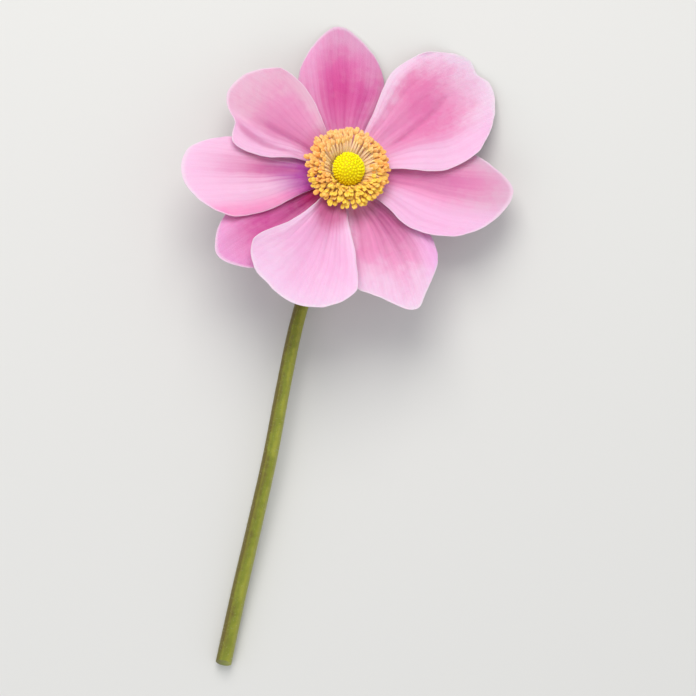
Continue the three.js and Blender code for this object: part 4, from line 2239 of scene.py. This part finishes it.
@dataclass(frozen=True)
class Studio:
    """Pale floor, soft light, and a camera that looks straight down.

    Its lens and sensor are millimetres, and its other sizes are metres.
    """

    lens: float = 400.0
    sensor_width: float = 36.0
    clip: Limits = (0.01, 20.0)
    field_height: float = 0.152
    subject_height: float = 0.008
    floor_half_width: float = 2.0
    floor_colour: str = "#d8d7d4"
    floor_roughness: float = 0.85
    floor_specular: float = 0.2
    sky_colour: str = "#f1f4f8"
    sky_strength: float = 0.68
    lights: tuple[SoftLight, ...] = (
        SoftLight(
            "key",
            azimuth=96.0,
            elevation=52.0,
            distance=0.7,
            size=0.46,
            power=3.7,
            tint=(1.0, 0.975, 0.94),
        ),
        SoftLight(
            "fill",
            azimuth=235.0,
            elevation=40.0,
            distance=0.8,
            size=0.6,
            power=1.12,
            tint=(0.96, 0.98, 1.0),
        ),
    )

    def build(self) -> None:
        """Builds the whole studio."""
        self._camera()
        self._floor()
        for soft in self.lights:
            self._light(soft)
        self._sky()

    def _camera(self) -> None:
        """Creates the camera above the flower and makes it the scene's camera."""
        data = bpy.data.cameras.new("camera")
        data.lens = self.lens
        data.sensor_width = self.sensor_width
        data.clip_start, data.clip_end = self.clip
        camera = bpy.data.objects.new("camera", data)
        distance = self.field_height * self.lens / self.sensor_width
        camera.location = (0, 0, self.subject_height + distance)
        bpy.context.scene.collection.objects.link(camera)
        bpy.context.scene.camera = camera

    def _floor(self) -> None:
        """Creates the floor, which isn't part of the flower."""
        bm = bmesh.new()
        bmesh.ops.create_grid(bm, x_segments=1, y_segments=1, size=self.floor_half_width)
        mesh = bpy.data.meshes.new("floor")
        bm.to_mesh(mesh)
        bm.free()
        material, graph = start_material("floor")
        shader = graph.add(
            "ShaderNodeBsdfPrincipled",
            {
                "Base Color": linear(self.floor_colour),
                "Roughness": self.floor_roughness,
                "Specular IOR Level": self.floor_specular,
            },
        )
        graph.add("ShaderNodeOutputMaterial", {"Surface": shader.outputs["BSDF"]})
        mesh.materials.append(material)
        floor = bpy.data.objects.new("floor", mesh)
        bpy.context.scene.collection.objects.link(floor)

    @staticmethod
    def _light(soft: SoftLight) -> None:
        """Creates a light that the camera doesn't see.

        Args:
            soft: what the light is like.
        """
        data = bpy.data.lights.new(soft.name, "AREA")
        data.shape = "SQUARE"
        data.size = soft.size
        data.energy = soft.power
        data.color = soft.tint
        light = bpy.data.objects.new(soft.name, data)
        away = soft.direction()
        light.location = Vector(STAND.centre) * METRES + away * soft.distance
        light.rotation_mode = "QUATERNION"
        light.rotation_quaternion = away.to_track_quat("Z", "Y")
        light.visible_camera = False
        bpy.context.scene.collection.objects.link(light)

    def _sky(self) -> None:
        """Creates the pale surroundings."""
        world = bpy.data.worlds.new("sky")
        world.use_nodes = True
        graph = Graph(world.node_tree)
        sky = graph.add(
            "ShaderNodeBackground",
            {"Color": linear(self.sky_colour), "Strength": self.sky_strength},
        )
        graph.add("ShaderNodeOutputWorld", {"Surface": sky.outputs["Background"]})
        bpy.context.scene.world = world
        bpy.context.scene.view_settings.view_transform = "Standard"


# ---- Assembly --------------------------------------------------------------------------


def report(piece: bpy.types.Object) -> None:
    """Logs a finished piece."""
    log.info("%s: %d faces", piece.name, len(piece.data.polygons))


def main() -> None:
    """Builds the studio and every piece of the flower."""
    logging.basicConfig(level=logging.INFO, format="%(name)s %(message)s")
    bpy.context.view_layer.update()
    Studio().build()
    patterns = Patterns()
    for assembly in (Stem(), *TEPALS, StamenRing(), PistilHead()):
        for piece in assembly.build(patterns):
            report(piece)
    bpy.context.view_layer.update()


if __name__ == "__main__":
    main()
